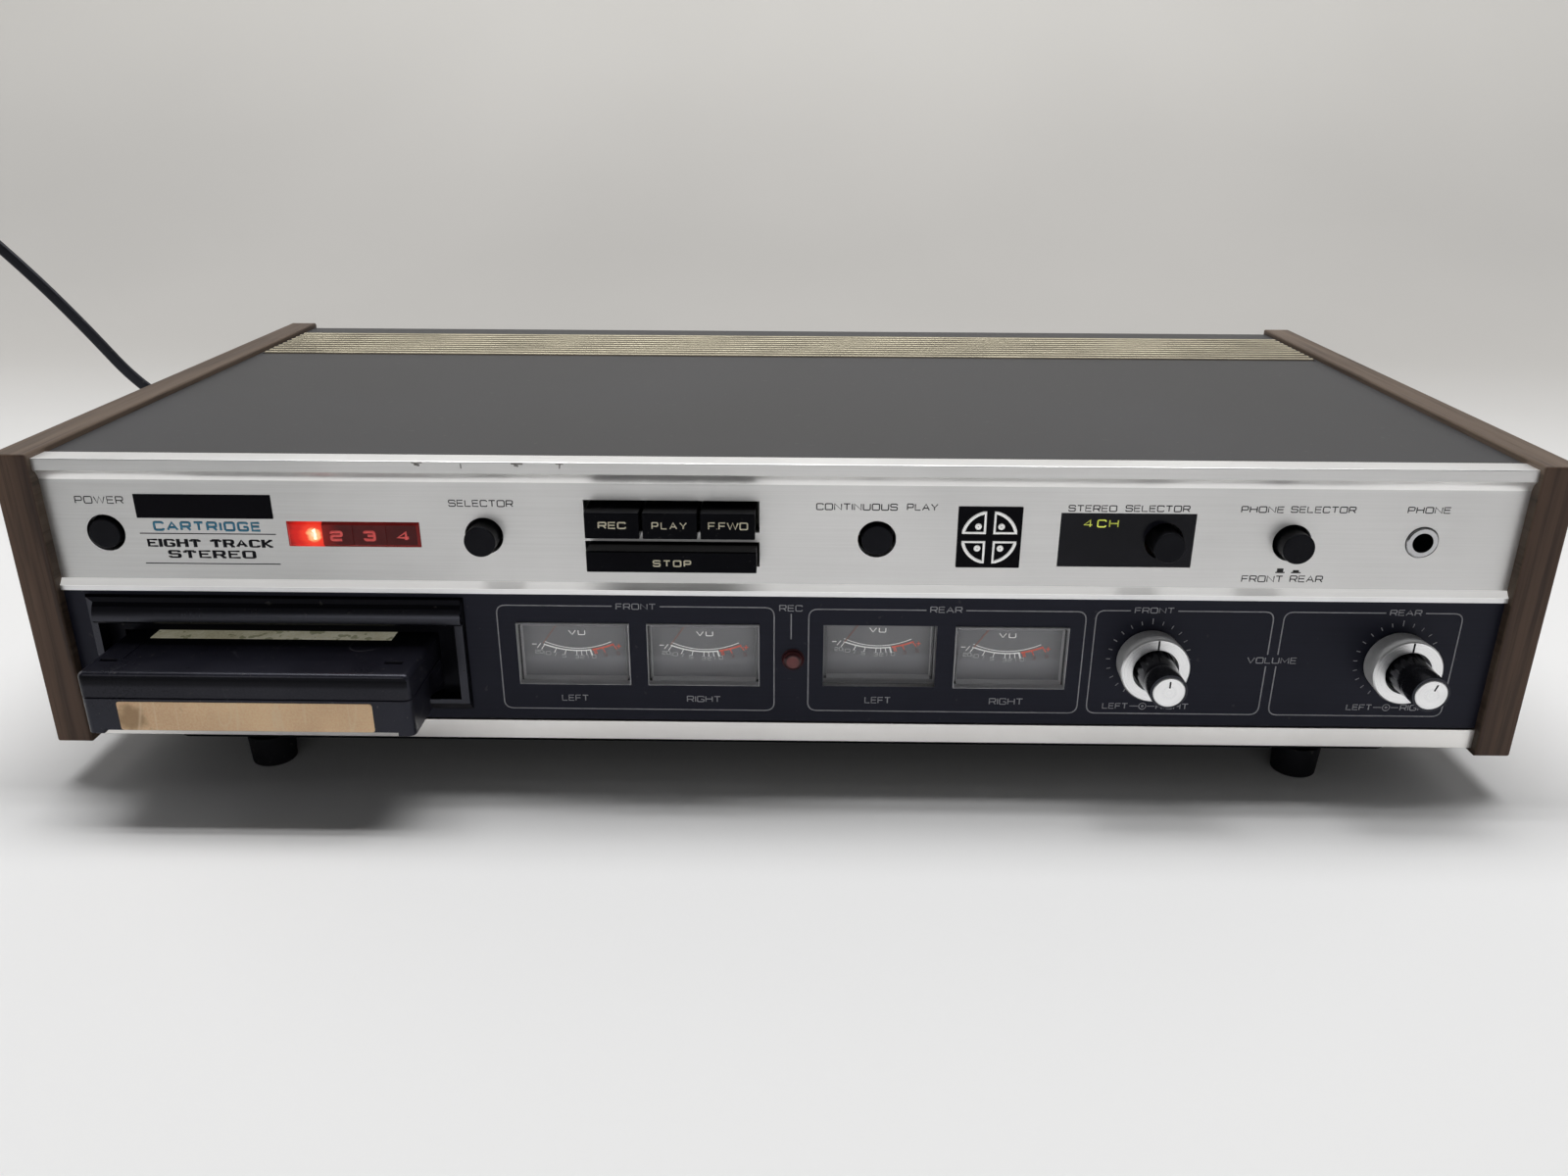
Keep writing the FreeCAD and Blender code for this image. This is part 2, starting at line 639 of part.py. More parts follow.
def piano_key(x0, x1, z0, z1, half_stem):
    cap = box(x0, x1, key_front, key_back, z0, z1)
    cap = cap.makeFillet(0.5, edges_where(cap, lambda m, d: m.y < key_front + 0.01 and abs(d.x) > 1))
    cap = cap.makeFillet(0.25, edges_where(cap, lambda m, d: m.y < key_front + 2 and abs(d.z) > 1))
    middle = (x0 + x1) / 2
    z = (z0 + z1) / 2
    return join(cap, box(middle - half_stem, middle + half_stem, key_back, 50, z - 1.2, z + 1.2))


def key_frame():
    gap = 0.25
    outer = box(-64, -3, 24, 46, 59, 88)
    hollow = box(-65, -2, 25.5, 44.5, 60.5, 86.5)
    slots = []
    for x0, x1, z0, z1, half_stem in key_slots:
        middle = (x0 + x1) / 2
        z = (z0 + z1) / 2
        slots.append(box(middle - half_stem - gap, middle + half_stem + gap, 20, 50, z - 1.2 - gap, z + 1.2 + gap))
    feet = [box(x, x + 6, subframe_face + subframe_sheet, 24, z, z + 1.5) for x in (-64, -9) for z in (59, 86.5)]
    return join(outer.cut([hollow] + slots), *feet)


publish("button_switches", button_switches())
for name, sizes in zip(key_names + ("stop_key",), key_slots):
    publish(name, piano_key(*sizes))
publish("key_frame", key_frame())


# ================================================================ volume controls
tube_out = 3.0
tube_in = 2.06
shaft_r = 2.0


def revolve_y(x, z, points):
    """A solid turned about the line through x and z along y; each point is (radius, y)."""
    wire = Part.makePolygon([Vector(r, y, 0) for r, y in points + points[:1]])
    solid = Part.Face(wire).revolve(Vector(0, 0, 0), Vector(0, 1, 0), 360)
    solid.translate(Vector(x, 0, z))
    return solid


def volume_ring(x):
    points = [(tube_in, 34.0), (tube_out, 34.0), (tube_out, 2.9), (ring_base_r, 2.9),
              (ring_r, ring_front + 0.35), (ring_r - 0.35, ring_front), (7.3, ring_front), (7.0, ring_front + 0.3),
              (7.0, -1.0), (tube_in, -1.0)]
    return revolve_y(x, volume_z, points)


def volume_knob(x):
    points = [(0, -1.6), (knob_r, -1.6), (knob_r, -3.0), (knob_tip_r + 0.1, -13.0), (knob_tip_r, knob_front),
              (0, knob_front)]
    knob = revolve_y(x, volume_z, points)
    flutes = []
    for i in range(16):
        a = math.radians(22.5 * i)
        flutes.append(rod_y(x + 6.75 * math.cos(a), volume_z + 6.75 * math.sin(a), 0.75, -17.5, -3.2))
    knob = join(knob.cut(flutes), rod_y(x, volume_z, shaft_r, -1.6, 38))
    cap = rod_y(x, volume_z, cap_r, cap_front, knob_front)
    cap = cap.makeChamfer(0.25, [e for e in cap.Edges if e.BoundBox.YMax < cap_front + 0.01])
    return group([knob, cap])


def potentiometers():
    pots = []
    for x in volume_xs:
        body = join(rod_y(x, volume_z, 12.0, 16, 27), rod_y(x, volume_z, 12.0, 29, 40),
                    rod_y(x, volume_z, 6.0, 27, 29))
        bushing = rod_y(x, volume_z, 4.7, 3.6, 16)
        nut = rod_y(x, volume_z, 7.0, subframe_face + subframe_sheet, 12.2)
        lugs = [box(x - 7 + 5 * i, x - 5.4 + 5 * i, 20, 21, volume_z - 18, volume_z - 10) for i in range(3)]
        pot = join(body, bushing, nut, *lugs)
        pots.append(pot.cut([rod_y(x, volume_z, tube_out + running_gap, 0, 34.4),
                             rod_y(x, volume_z, shaft_r + running_gap, 34, 38.6)]))
    return group(pots)


for label, x in zip(("front", "rear"), volume_xs):
    publish(f"volume_ring_{label}", volume_ring(x))
    publish(f"volume_knob_{label}", volume_knob(x))
publish("potentiometers", potentiometers())


# ================================================================ cartridge
def cartridge_openings():
    """Where the head, the capstan and the sensing posts enter the cartridge's rear edge."""
    low = cartridge_bottom + shell_wall
    high = cartridge_top - shell_wall
    deep = cartridge_back - 6
    return [box(head_x - 14, head_x + 14, deep, cartridge_back + 1, low, high),
            box(-142, -115, deep, cartridge_back + 1, low, high),
            box(-208, -190, deep, cartridge_back + 1, low, high)]


def shell_block(z0, z1):
    return box(cartridge_left, cartridge_right, -cartridge_reach, cartridge_back, z0, z1)


def seam_edges(shell):
    """The outer edges of a half shell that meet the other half, except at the rear."""
    outline = []
    for edge in shell.Edges:
        b = edge.BoundBox
        if abs(b.ZMin - cartridge_seam) < 0.01 and abs(b.ZMax - cartridge_seam) < 0.01 and b.YMin < cartridge_back - 1:
            outline.append(edge)
    return outline


def cartridge_bottom_shell():
    shell = shell_block(cartridge_bottom, cartridge_seam)
    front_corners = edges_where(shell, lambda m, d: abs(d.z) > 1 and m.y < 0)
    shell = shell.makeFillet(2.2, front_corners)
    shell = shell.makeChamfer(seam_groove, seam_edges(shell))
    w = shell_wall
    hollow = box(cartridge_left + w, cartridge_right - w, -cartridge_reach + w, cartridge_back - w,
                 cartridge_bottom + w, cartridge_seam + 1)
    step = box(cartridge_left + step_left, cartridge_right - step_right, -cartridge_reach - 1, step_back,
               cartridge_bottom - 1, cartridge_bottom + step_height)
    grip = rod_z(cartridge_right + 8, 1.0, 11.0, cartridge_bottom - 1, cartridge_seam - 1.2)
    grip_wall = rod_z(cartridge_right + 8, 1.0, 11.0 + w, cartridge_bottom, cartridge_seam - seam_groove)
    grip_wall = grip_wall.common(box(cartridge_left, cartridge_right, -24, 40, cartridge_bottom, cartridge_seam))
    shell = join(shell.cut([hollow, step]), grip_wall).cut(grip)
    rx, ry = reel_centre
    px, py = roller_centre
    posts = [rod_z(rx, ry, 5.0, cartridge_bottom, 28.5), rod_z(px, py, 2.0, cartridge_bottom, 33.5)]
    capstan_way = box(-134, -121.5, cartridge_back - 5, cartridge_back + 1, cartridge_bottom - 1, cartridge_seam)
    return join(shell, *posts).cut(cartridge_openings() + [capstan_way])


def cartridge_top_shell():
    shell = shell_block(cartridge_seam, cartridge_top)
    front_corners = edges_where(shell, lambda m, d: abs(d.z) > 1 and m.y < 0)
    shell = shell.makeFillet(2.2, front_corners)
    shell = shell.makeChamfer(seam_groove, seam_edges(shell))
    rim = [e for e in shell.Edges if e.BoundBox.ZMin > cartridge_top - 0.01 and e.BoundBox.YMax < cartridge_back - 1]
    shell = shell.makeFillet(2.0, rim)
    w = shell_wall
    hollow = box(cartridge_left + w, cartridge_right - w, -cartridge_reach + w, cartridge_back - w,
                 cartridge_seam - 1, cartridge_top - w)
    recess = box(cartridge_left + 9.5, cartridge_right - 9.5, -14, cartridge_back + 1, cartridge_top - 0.25, cartridge_top + 1)
    notches = [box(x - 2.8, x + 2.8, -16.0, -14.0, cartridge_top - 1.0, cartridge_top + 1)
               for x in (cartridge_left + 5.6, cartridge_right - 7.2)]
    return shell.cut([hollow, recess] + notches + cartridge_openings())


def cartridge_reel():
    rx, ry = reel_centre
    bore = rod_z(rx, ry, 5.0 + running_gap, 15, 40)
    reel = join(rod_z(rx, ry, reel_r, 19.2, 20.4), rod_z(rx, ry, 18.0, 20.4, 28.0)).cut(bore)
    tape = rod_z(rx, ry, 41.0, 20.4, 26.8).cut(rod_z(rx, ry, 18.0, 20, 27))
    return group([reel, tape])


def cartridge_pinch_roller():
    px, py = roller_centre
    roller = rod_z(px, py, roller_r, 19.6, 32.6)
    roller = roller.makeFillet(0.8, roller.Edges[:1] + roller.Edges[2:])
    return roller.cut(rod_z(px, py, 2.0 + running_gap, 15, 40))


publish("cartridge_bottom_shell", cartridge_bottom_shell())
publish("cartridge_top_shell", cartridge_top_shell())
publish("cartridge_reel", cartridge_reel())
publish("cartridge_pinch_roller", cartridge_pinch_roller())


# ================================================================ mechanism
capstan_x = roller_centre[0]
head_face = cartridge_back - 4.0
guide_xs = (head_x - 11.0, head_x + 11.0)
guide_y = 121.0
guide_r = 1.5
flap_hinge = (10.6, 42.2)
flap_droop = 7.4


def cartridge_tray():
    x0 = cartridge_left - 0.6
    x1 = cartridge_right + 0.6
    floor = box(x0 - 1.6, x1 + 1.6, 9.2, 112, deck_top, cartridge_bottom - 0.4)
    floor = floor.cut([box(-136, -119.5, 95, 113, 10, 20), box(-176, -148, 104, 113, 10, 20)])
    walls = [box(x0 - 1.6, x0, 9.2, 112, deck_top, 46.0), box(x1, x1 + 1.6, 9.2, 112, deck_top, 46.0)]
    lips = [box(x0 - 1.6, x0 + 6, 44, 112, cartridge_top + 0.6, cartridge_top + 2.0),
            box(x1 - 6, x1 + 1.6, 44, 112, cartridge_top + 0.6, cartridge_top + 2.0)]
    hinge_hole = rod_x(flap_hinge[0], flap_hinge[1], 1.0 + running_gap, x0 - 5, x1 + 5)
    return join(floor, *(walls + lips)).cut(hinge_hole)


def dust_flap():
    y, z = flap_hinge
    x0 = cartridge_left - 0.2
    x1 = cartridge_right + 0.2
    barrel = rod_x(y, z, 1.6, x0, x1)
    pin = rod_x(y, z, 1.0, x0 - 2.0, x1 + 2.0)
    leaf = box(x0, x1, y, 34.0, z - 1.6, z - 0.4)
    leaf.rotate(Vector(0, y, z), Vector(1, 0, 0), -flap_droop)
    return join(barrel, pin, leaf)


def mechanism_deck():
    plate = box(-222, -44, 9.6, 166, deck_bottom, deck_top)
    plate = plate.cut([rod_z(capstan_x, capstan_y, capstan_r + running_gap, 0, 30),
                       rod_z(motor_centre[0], motor_centre[1], 8.0, 0, 30)])
    boss = rod_z(capstan_x, capstan_y, 5.5, deck_top, cartridge_bottom - 0.4)
    boss = boss.cut(rod_z(capstan_x, capstan_y, capstan_r + running_gap, 0, 30))
    posts = [rod_z(x, y, 3.0, tray_bottom + pan_sheet, deck_bottom)
             for x in (-198, -52) for y in (30, 158)]
    bridge = [box(capstan_x - 6, capstan_x + 6, capstan_y - 37, capstan_y + 37, 2.3, 3.3),
              box(capstan_x - 6, capstan_x + 6, capstan_y - 37, capstan_y - 33, 3.3, deck_bottom),
              box(capstan_x - 6, capstan_x + 6, capstan_y + 33, capstan_y + 37, 3.3, deck_bottom)]
    guides = [rod_z(x, guide_y, guide_r, deck_top, 48) for x in guide_xs]
    cam_post = rod_z(cam_centre[0], cam_centre[1], 3.0, deck_top, 26.0)
    return join(plate, boss, cam_post, *(posts + bridge + guides))


def flywheel():
    rim = rod_z(capstan_x, capstan_y, flywheel_r, 4.4, 11.2)
    groove = rod_z(capstan_x, capstan_y, flywheel_r + 1, belt_low - 0.3, belt_high + 0.3)
    groove = groove.cut(rod_z(capstan_x, capstan_y, flywheel_r - 0.8, 0, 20))
    dish = rod_z(capstan_x, capstan_y, 24, 9.2, 12).cut(rod_z(capstan_x, capstan_y, 7, 9, 12))
    shaft = rod_z(capstan_x, capstan_y, capstan_r, 3.6, 35.0)
    return join(rim.cut([groove, dish]), shaft)


def motor_pulley():
    x, y = motor_centre
    wheel = rod_z(x, y, pulley_r + 1.4, 4.4, 11.0)
    groove = rod_z(x, y, pulley_r + 2, belt_low - 0.3, belt_high + 0.3).cut(rod_z(x, y, pulley_r, 0, 20))
    return join(wheel.cut(groove), rod_z(x, y, 1.5, 4.4, 34.0))


def motor():
    x, y = motor_centre
    can = rod_z(x, y, motor_r, deck_top, 58)
    can = can.makeFillet(2.0, [e for e in can.Edges if e.BoundBox.ZMin > 57.9])
    return can.cut(rod_z(x, y, 1.5 + running_gap, 10, 36))


def loop_face(c1, r1, c2, r2):
    """The flat outline of a band stretched round two wheels."""
    dx, dy = c2[0] - c1[0], c2[1] - c1[1]
    length = math.hypot(dx, dy)
    heading = math.atan2(dy, dx)
    spread = math.acos((r1 - r2) / length)

    def rim(centre, r, angle):
        return Vector(centre[0] + r * math.cos(angle), centre[1] + r * math.sin(angle), 0)

    a1, b1 = rim(c1, r1, heading + spread), rim(c1, r1, heading - spread)
    a2, b2 = rim(c2, r2, heading + spread), rim(c2, r2, heading - spread)
    edges = [Part.Arc(a1, rim(c1, r1, heading + math.pi), b1).toShape(), Part.makeLine(b1, b2),
             Part.Arc(b2, rim(c2, r2, heading), a2).toShape(), Part.makeLine(a2, a1)]
    return Part.Face(Part.Wire(edges))


def drive_belt():
    clear = 0.3
    thick = 1.0
    wheel = (capstan_x, capstan_y)
    r1 = flywheel_r - 0.8 + clear
    r2 = pulley_r + clear
    outer = loop_face(wheel, r1 + thick, motor_centre, r2 + thick).extrude(Vector(0, 0, belt_high - belt_low))
    hole = loop_face(wheel, r1, motor_centre, r2).extrude(Vector(0, 0, belt_high - belt_low))
    belt = outer.cut(hole)
    belt.translate(Vector(0, 0, belt_low))
    return belt


def head_carriage():
    plate = box(head_x - 15, head_x + 15, guide_y - 2.6, guide_y + 2.6, 20.0, 44.0)
    plate = plate.cut([rod_z(x, guide_y, guide_r + running_gap, 0, 60) for x in guide_xs])
    head = box(head_x - 7, head_x + 7, head_face + 1.5, guide_y - 2.6, 21.0, 33.0)
    nose = rod_z(head_x, head_face + 5.5, 5.5, 22.0, 32.0)
    arm = box(head_x - 2.5, head_x + 2.5, guide_y + 2.6, 130, 29.0, 31.5)
    pin = rod_z(head_x, 128.0, 1.2, 24.0, 29.0)
    return join(plate, head, nose, arm, pin)


def track_cam():
    x, y = cam_centre
    steps = []
    for i in range(4):
        top = 23.5 + cam_step * i
        sector = Part.makeCylinder(cam_r, top - 18.0, Vector(x, y, 18.0), Vector(0, 0, 1), 90)
        sector.rotate(Vector(x, y, 0), Vector(0, 0, 1), -135.0 - 90.0 * i)
        steps.append(sector)
    ratchet = rod_z(x, y, 8.0, 15.4, 18.0)
    cam = join(ratchet, *steps)
    return cam.cut(rod_z(x, y, 3.0 + running_gap, 10, 40))


def solenoid():
    x = -205.0
    frame = box(x - 12, x + 10, 128, 158, deck_top, 38).cut(box(x - 9, x + 7, 127, 159, deck_top + 2, 36))
    coil = rod_y(x - 1, 26, 7.6, 130, 156)
    plunger = rod_y(x - 1, 26, 3.0, 156, 163)
    pawl = box(x - 2, cam_centre[0] - cam_r - 2, 163, 165, 22, 26)
    return group([frame, coil, join(plunger, pawl)])


publish("cartridge_tray", cartridge_tray())
publish("dust_flap", dust_flap())
publish("mechanism_deck", mechanism_deck())
publish("flywheel", flywheel())
publish("motor_pulley", motor_pulley())
publish("motor", motor())
publish("drive_belt", drive_belt())
publish("head_carriage", head_carriage())
publish("track_cam", track_cam())
publish("solenoid", solenoid())


# ================================================================ electronics
board_top = 19.6
floor_z = tray_bottom + pan_sheet


def transformer():
    core = box(146, 199, 74, 116, floor_z, 58)
    coil = box(154, 191, 62, 128, 8, 48).cut(core)
    return group([core] + coil.Solids)


def amplifier_board():
    solids = [box(-36, 140, 70, 222, board_top - 1.6, board_top)]
    solids += [rod_z(x, y, 3.0, floor_z, board_top - 1.6) for x in (-30, 134) for y in (76, 216)]
    for x, y, r, h in ((-14, 100, 12.5, 42), (18, 100, 12.5, 42), (50, 92, 8, 26), (72, 92, 8, 26)):
        solids.append(rod_z(x, y, r, board_top, board_top + h))
    fins = [box(-20 + 12 * i, -18 + 12 * i, 180, 206, board_top + 2, board_top + 30) for i in range(8)]
    solids.append(join(box(-20, 66, 180, 206, board_top, board_top + 2), *fins))
    for i in range(6):
        solids.append(box(-20 + 24 * i, -8 + 24 * i, 140, 152, board_top, board_top + 9))
    return group(solids)


def rca_jacks():
    plate = box(50, 160, rear_face, rear_face + 1.2, 24, 68)
    barrels = []
    bores = []
    for x in jack_columns:
        for z in jack_rows:
            barrels.append(rod_y(x, z, 4.15, rear_face + 1.2, panel_depth + jack_reach))
            barrels.append(rod_y(x, z, 6.2, rear_face + 1.2, rear_face + 2.0))
            barrels.append(rod_y(x, z, 3.2, rear_face - 9.0, rear_face))
            bores.append(rod_y(x, z, 1.65, panel_depth + jack_reach - 8, panel_depth + jack_reach + 1))
    return join(plate, *barrels).cut(bores)


publish("transformer", transformer())
publish("amplifier_board", amplifier_board())
publish("rca_jacks", rca_jacks())


# ================================================================ mains lead
def rounded_path(points):
    """Straight runs joined by tangent arcs, each as large as its two runs allow."""
    pts = [Vector(*p) for p in points]
    edges = []
    start = pts[0]
    length = 0
    radii = []
    for before, corner, after in zip(pts, pts[1:], pts[2:]):
        run_in, run_out = corner - before, after - corner
        turn = run_in.getAngle(run_out)
        cut_back = 0.45 * min(run_in.Length, run_out.Length)
        radius = cut_back / math.tan(turn / 2)
        radii.append(radius)
        into = Vector(run_in).normalize()
        out = Vector(run_out).normalize()
        a = corner - into * cut_back
        b = corner + out * cut_back
        bisector = (out - into).normalize()
        middle = corner + bisector * (radius / math.cos(turn / 2) - radius)
        edges.append(Part.LineSegment(start, a).toShape())
        edges.append(Part.Arc(a, middle, b).toShape())
        start = b
    edges.append(Part.LineSegment(start, pts[-1]).toShape())
    for edge in edges:
        length += edge.Length
    return Part.Wire(edges), length, radii


def power_cord():
    path, length, radii = rounded_path(cord_route)
    first = Vector(*cord_route[1]) - Vector(*cord_route[0])
    ring = Part.Wire([Part.Circle(Vector(*cord_route[0]), first, cord_r).toShape()])
    tube = path.makePipeShell([ring], True, False)
    section = math.pi * cord_r ** 2
    print("cord length", round(length, 1), "radii", [round(r) for r in radii])
    print("cord volume over section times length", round(tube.Volume / (section * length), 4))
    return tube


def cord_strain_relief():
    y0 = cord_route[0][1] - relief_length
    relief = Part.makeCone(6.2, 4.0, relief_length - 2.4, Vector(relief_x, y0 + 2.4, relief_z), Vector(0, 1, 0))
    flange = rod_y(relief_x, relief_z, 7.5, y0, y0 + 2.4)
    neck = rod_y(relief_x, relief_z, 4.9, y0 - 4, y0)
    return join(relief, flange, neck)


def power_plug():
    end = Vector(*cord_route[-1])
    along = (end - Vector(*cord_route[-2])).normalize()
    side = Vector(0, 1, 0)
    grip = Part.makeCone(4.2, 8.0, plug_length - 12, end, along)
    body = Part.makeBox(22, 14, 12)
    body.translate(Vector(-11, -7, 0))
    blades = [Part.makeBox(1.5, 6.3, blade_length, Vector(s * 6.35 - 0.75, -3.15, 12)) for s in (-1, 1)]
    head = join(body.makeFillet(1.5, [e for e in body.Edges if e.BoundBox.ZLength > 5]), *blades)
    head.Placement = FreeCAD.Placement(end + along * (plug_length - 12),
                                       FreeCAD.Rotation(side, along.cross(side), along, "ZXY"))
    return join(grip, head)


publish("power_cord", power_cord())
publish("cord_strain_relief", cord_strain_relief())
publish("power_plug", power_plug())
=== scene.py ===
import json
import math

import bpy
from mathutils import Matrix, Vector

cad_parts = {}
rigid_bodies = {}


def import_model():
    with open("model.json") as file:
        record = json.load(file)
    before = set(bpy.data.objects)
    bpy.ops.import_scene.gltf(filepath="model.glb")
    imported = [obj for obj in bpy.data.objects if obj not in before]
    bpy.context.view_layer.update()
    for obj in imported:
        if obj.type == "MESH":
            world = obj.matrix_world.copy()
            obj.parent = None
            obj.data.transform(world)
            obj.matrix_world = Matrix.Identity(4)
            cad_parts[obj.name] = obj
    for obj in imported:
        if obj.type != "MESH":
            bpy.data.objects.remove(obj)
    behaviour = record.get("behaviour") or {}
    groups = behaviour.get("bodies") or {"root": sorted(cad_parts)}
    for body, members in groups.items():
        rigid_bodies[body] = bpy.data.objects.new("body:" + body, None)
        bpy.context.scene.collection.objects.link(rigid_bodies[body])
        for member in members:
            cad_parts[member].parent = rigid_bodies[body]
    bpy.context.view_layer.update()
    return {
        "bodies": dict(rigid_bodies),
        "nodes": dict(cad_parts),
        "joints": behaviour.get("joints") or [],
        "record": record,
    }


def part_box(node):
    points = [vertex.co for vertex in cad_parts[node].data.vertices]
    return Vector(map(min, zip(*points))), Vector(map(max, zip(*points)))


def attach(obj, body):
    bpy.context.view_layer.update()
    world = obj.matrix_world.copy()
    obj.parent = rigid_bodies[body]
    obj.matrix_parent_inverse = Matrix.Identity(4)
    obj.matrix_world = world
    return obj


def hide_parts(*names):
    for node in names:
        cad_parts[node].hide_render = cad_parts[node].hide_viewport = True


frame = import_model()
nodes = frame["nodes"]
bpy.ops.object.select_all(action="DESELECT")
print("frame loaded with", len(nodes), "nodes")

# Places are written as in the cabinet's own drawing: millimetres to the right of the
# middle, back from the front edges of the side panels, up from their bottom edges.
mm = 0.001
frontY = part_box("side_panel_left")[0].y
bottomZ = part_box("side_panel_left")[0].z


def place(x, y, z):
    return Vector((x * mm, frontY + y * mm, bottomZ + z * mm))


# camera

cameraLook = {
    "spot": (0.005635, -0.461955, 0.212552),
    "lens": 27.76,
    "turn": 0.0119,
    "pitch": -0.3812,
    "roll": -0.0048,
    "sensor": 36.0,
    "near": 0.01,
}


def makeCamera(look):
    bpy.ops.object.camera_add(location=(0, 0, 0))
    camera = bpy.context.object
    camera.name = "viewCamera"
    camera.data.lens = look["lens"]
    camera.data.sensor_width = look["sensor"]
    camera.data.clip_start = look["near"]
    camera.matrix_world = (
        Matrix.Translation(look["spot"])
        @ Matrix.Rotation(look["turn"], 4, "Z")
        @ Matrix.Rotation(look["pitch"], 4, "X")
        @ Matrix.Rotation(look["roll"], 4, "Y")
        @ Matrix.Rotation(math.radians(90), 4, "X")
    )
    bpy.context.scene.camera = camera


makeCamera(cameraLook)
print("camera set")


# what the materials are made of

def paint(red, green, blue):
    # a colour as a paint chart gives it, 0 to 255, made linear
    values = []
    for part in (red, green, blue):
        part = part / 255
        values.append(part / 12.92 if part <= 0.04045 else ((part + 0.055) / 1.055) ** 2.4)
    return (*values, 1.0)


def plug(socket, value):
    # a socket takes a link from another, or a value of its own
    if hasattr(value, "links"):
        socket.id_data.links.new(value, socket)
    else:
        socket.default_value = value


def put(node, name, value):
    plug(node.inputs[name], value)


def startMaterial(name, metallic=0.0):
    material = bpy.data.materials.new(name)
    material.use_nodes = True
    shader = material.node_tree.nodes["Principled BSDF"]
    put(shader, "Metallic", metallic)
    return material, material.node_tree, shader


def spotsOn(tree, stretch=(1, 1, 1), centre=None):
    # a point of the piece, stretched so that a pattern gets longer or finer along an axis
    coordinates = tree.nodes.new("ShaderNodeTexCoord")
    mapping = tree.nodes.new("ShaderNodeMapping")
    put(mapping, "Scale", stretch)
    if centre is not None:
        mapping.vector_type = "TEXTURE"
        put(mapping, "Location", centre)
    put(mapping, "Vector", coordinates.outputs["Object"])
    return mapping.outputs["Vector"]


def cloud(tree, point, scale, detail=4.0, rough=0.55, distortion=0.0):
    noise = tree.nodes.new("ShaderNodeTexNoise")
    put(noise, "Scale", scale)
    put(noise, "Detail", detail)
    put(noise, "Roughness", rough)
    put(noise, "Distortion", distortion)
    put(noise, "Vector", point)
    return noise.outputs["Fac"]


def steps(tree, value, stops, smooth=True):
    # stops are pairs of a place from 0 to 1 and a colour or a grey
    ramp = tree.nodes.new("ShaderNodeValToRGB")
    ramp.color_ramp.interpolation = "EASE" if smooth else "LINEAR"
    elements = ramp.color_ramp.elements
    while len(elements) < len(stops):
        elements.new(0.5)
    for element, (spot, colour) in zip(elements, stops):
        element.position = spot
        element.color = colour if isinstance(colour, tuple) else (colour, colour, colour, 1)
    put(ramp, "Fac", value)
    return ramp.outputs["Color"]


def twoTones(tree, value, tones):
    # a cloud's dark and light parts each get their tone
    return steps(tree, value, [(0.3, paint(*tones[0])), (0.7, paint(*tones[1]))])


def blendColours(tree, amount, first, second, kind="MIX"):
    mix = tree.nodes.new("ShaderNodeMix")
    mix.data_type = "RGBA"
    mix.blend_type = kind
    sockets = {s.identifier: s for s in mix.inputs}
    for name, value in (("Factor_Float", amount), ("A_Color", first), ("B_Color", second)):
        plug(sockets[name], value)
    return next(s for s in mix.outputs if s.identifier == "Result_Color")


def mottle(tree, amount, colour, clouds):
    # lightens and darkens a colour with a cloud
    return blendColours(tree, amount, colour, steps(tree, clouds, [(0.3, 0.0), (0.7, 1.0)]), "OVERLAY")


def reckon(tree, kind, first, second=0.0, clamp=False):
    maths = tree.nodes.new("ShaderNodeMath")
    maths.operation = kind
    maths.use_clamp = clamp
    for socket, value in zip(maths.inputs, (first, second)):
        plug(socket, value)
    return maths.outputs["Value"]


def weigh(tree, first, share, second):
    # two measures in one, the first with its share and the second with the rest
    parts = [reckon(tree, "MULTIPLY", value, part) for value, part in ((first, share), (second, 1.0 - share))]
    return reckon(tree, "ADD", *parts)


def wander(tree, value, clouds, amount):
    # makes an even measure uneven with a cloud
    offset = reckon(tree, "SUBTRACT", clouds, 0.5)
    return reckon(tree, "ADD", value, reckon(tree, "MULTIPLY", offset, amount))


def axesFrom(tree, centre=None):
    # sideways, back and up from a centre
    parts = tree.nodes.new("ShaderNodeSeparateXYZ")
    put(parts, "Vector", spotsOn(tree, (1, 1, 1), centre))
    return parts.outputs


def apart(tree, centre):
    # how far a point is from the line that runs back through the centre
    spot = axesFrom(tree, centre)
    squares = [reckon(tree, "POWER", spot[name], 2.0) for name in ("X", "Z")]
    return reckon(tree, "SQRT", reckon(tree, "ADD", *squares))


def heightUp(tree, low, high):
    # 0 to 1 between two heights
    return reckon(tree, "DIVIDE", axesFrom(tree, place(0, 0, low))["Z"], (high - low) * mm)


def spread(tree, value, low, high):
    # brings a cloud's middle half into a range
    mapRange = tree.nodes.new("ShaderNodeMapRange")
    for name, number in (("From Min", 0.25), ("From Max", 0.75), ("To Min", low), ("To Max", high)):
        put(mapRange, name, number)
    put(mapRange, "Value", value)
    return mapRange.outputs["Result"]


def raiseSurface(tree, shader, height, strength, depth):
    bump = tree.nodes.new("ShaderNodeBump")
    put(bump, "Strength", strength)
    put(bump, "Distance", depth)
    put(bump, "Height", height)
    put(shader, "Normal", bump.outputs["Normal"])


def coat(tree, shader, look, colour, clouds):
    put(shader, "Base Color", colour)
    put(shader, "Roughness", spread(tree, clouds, *look["roughness"]))
    put(shader, "Specular IOR Level", look["specular"])


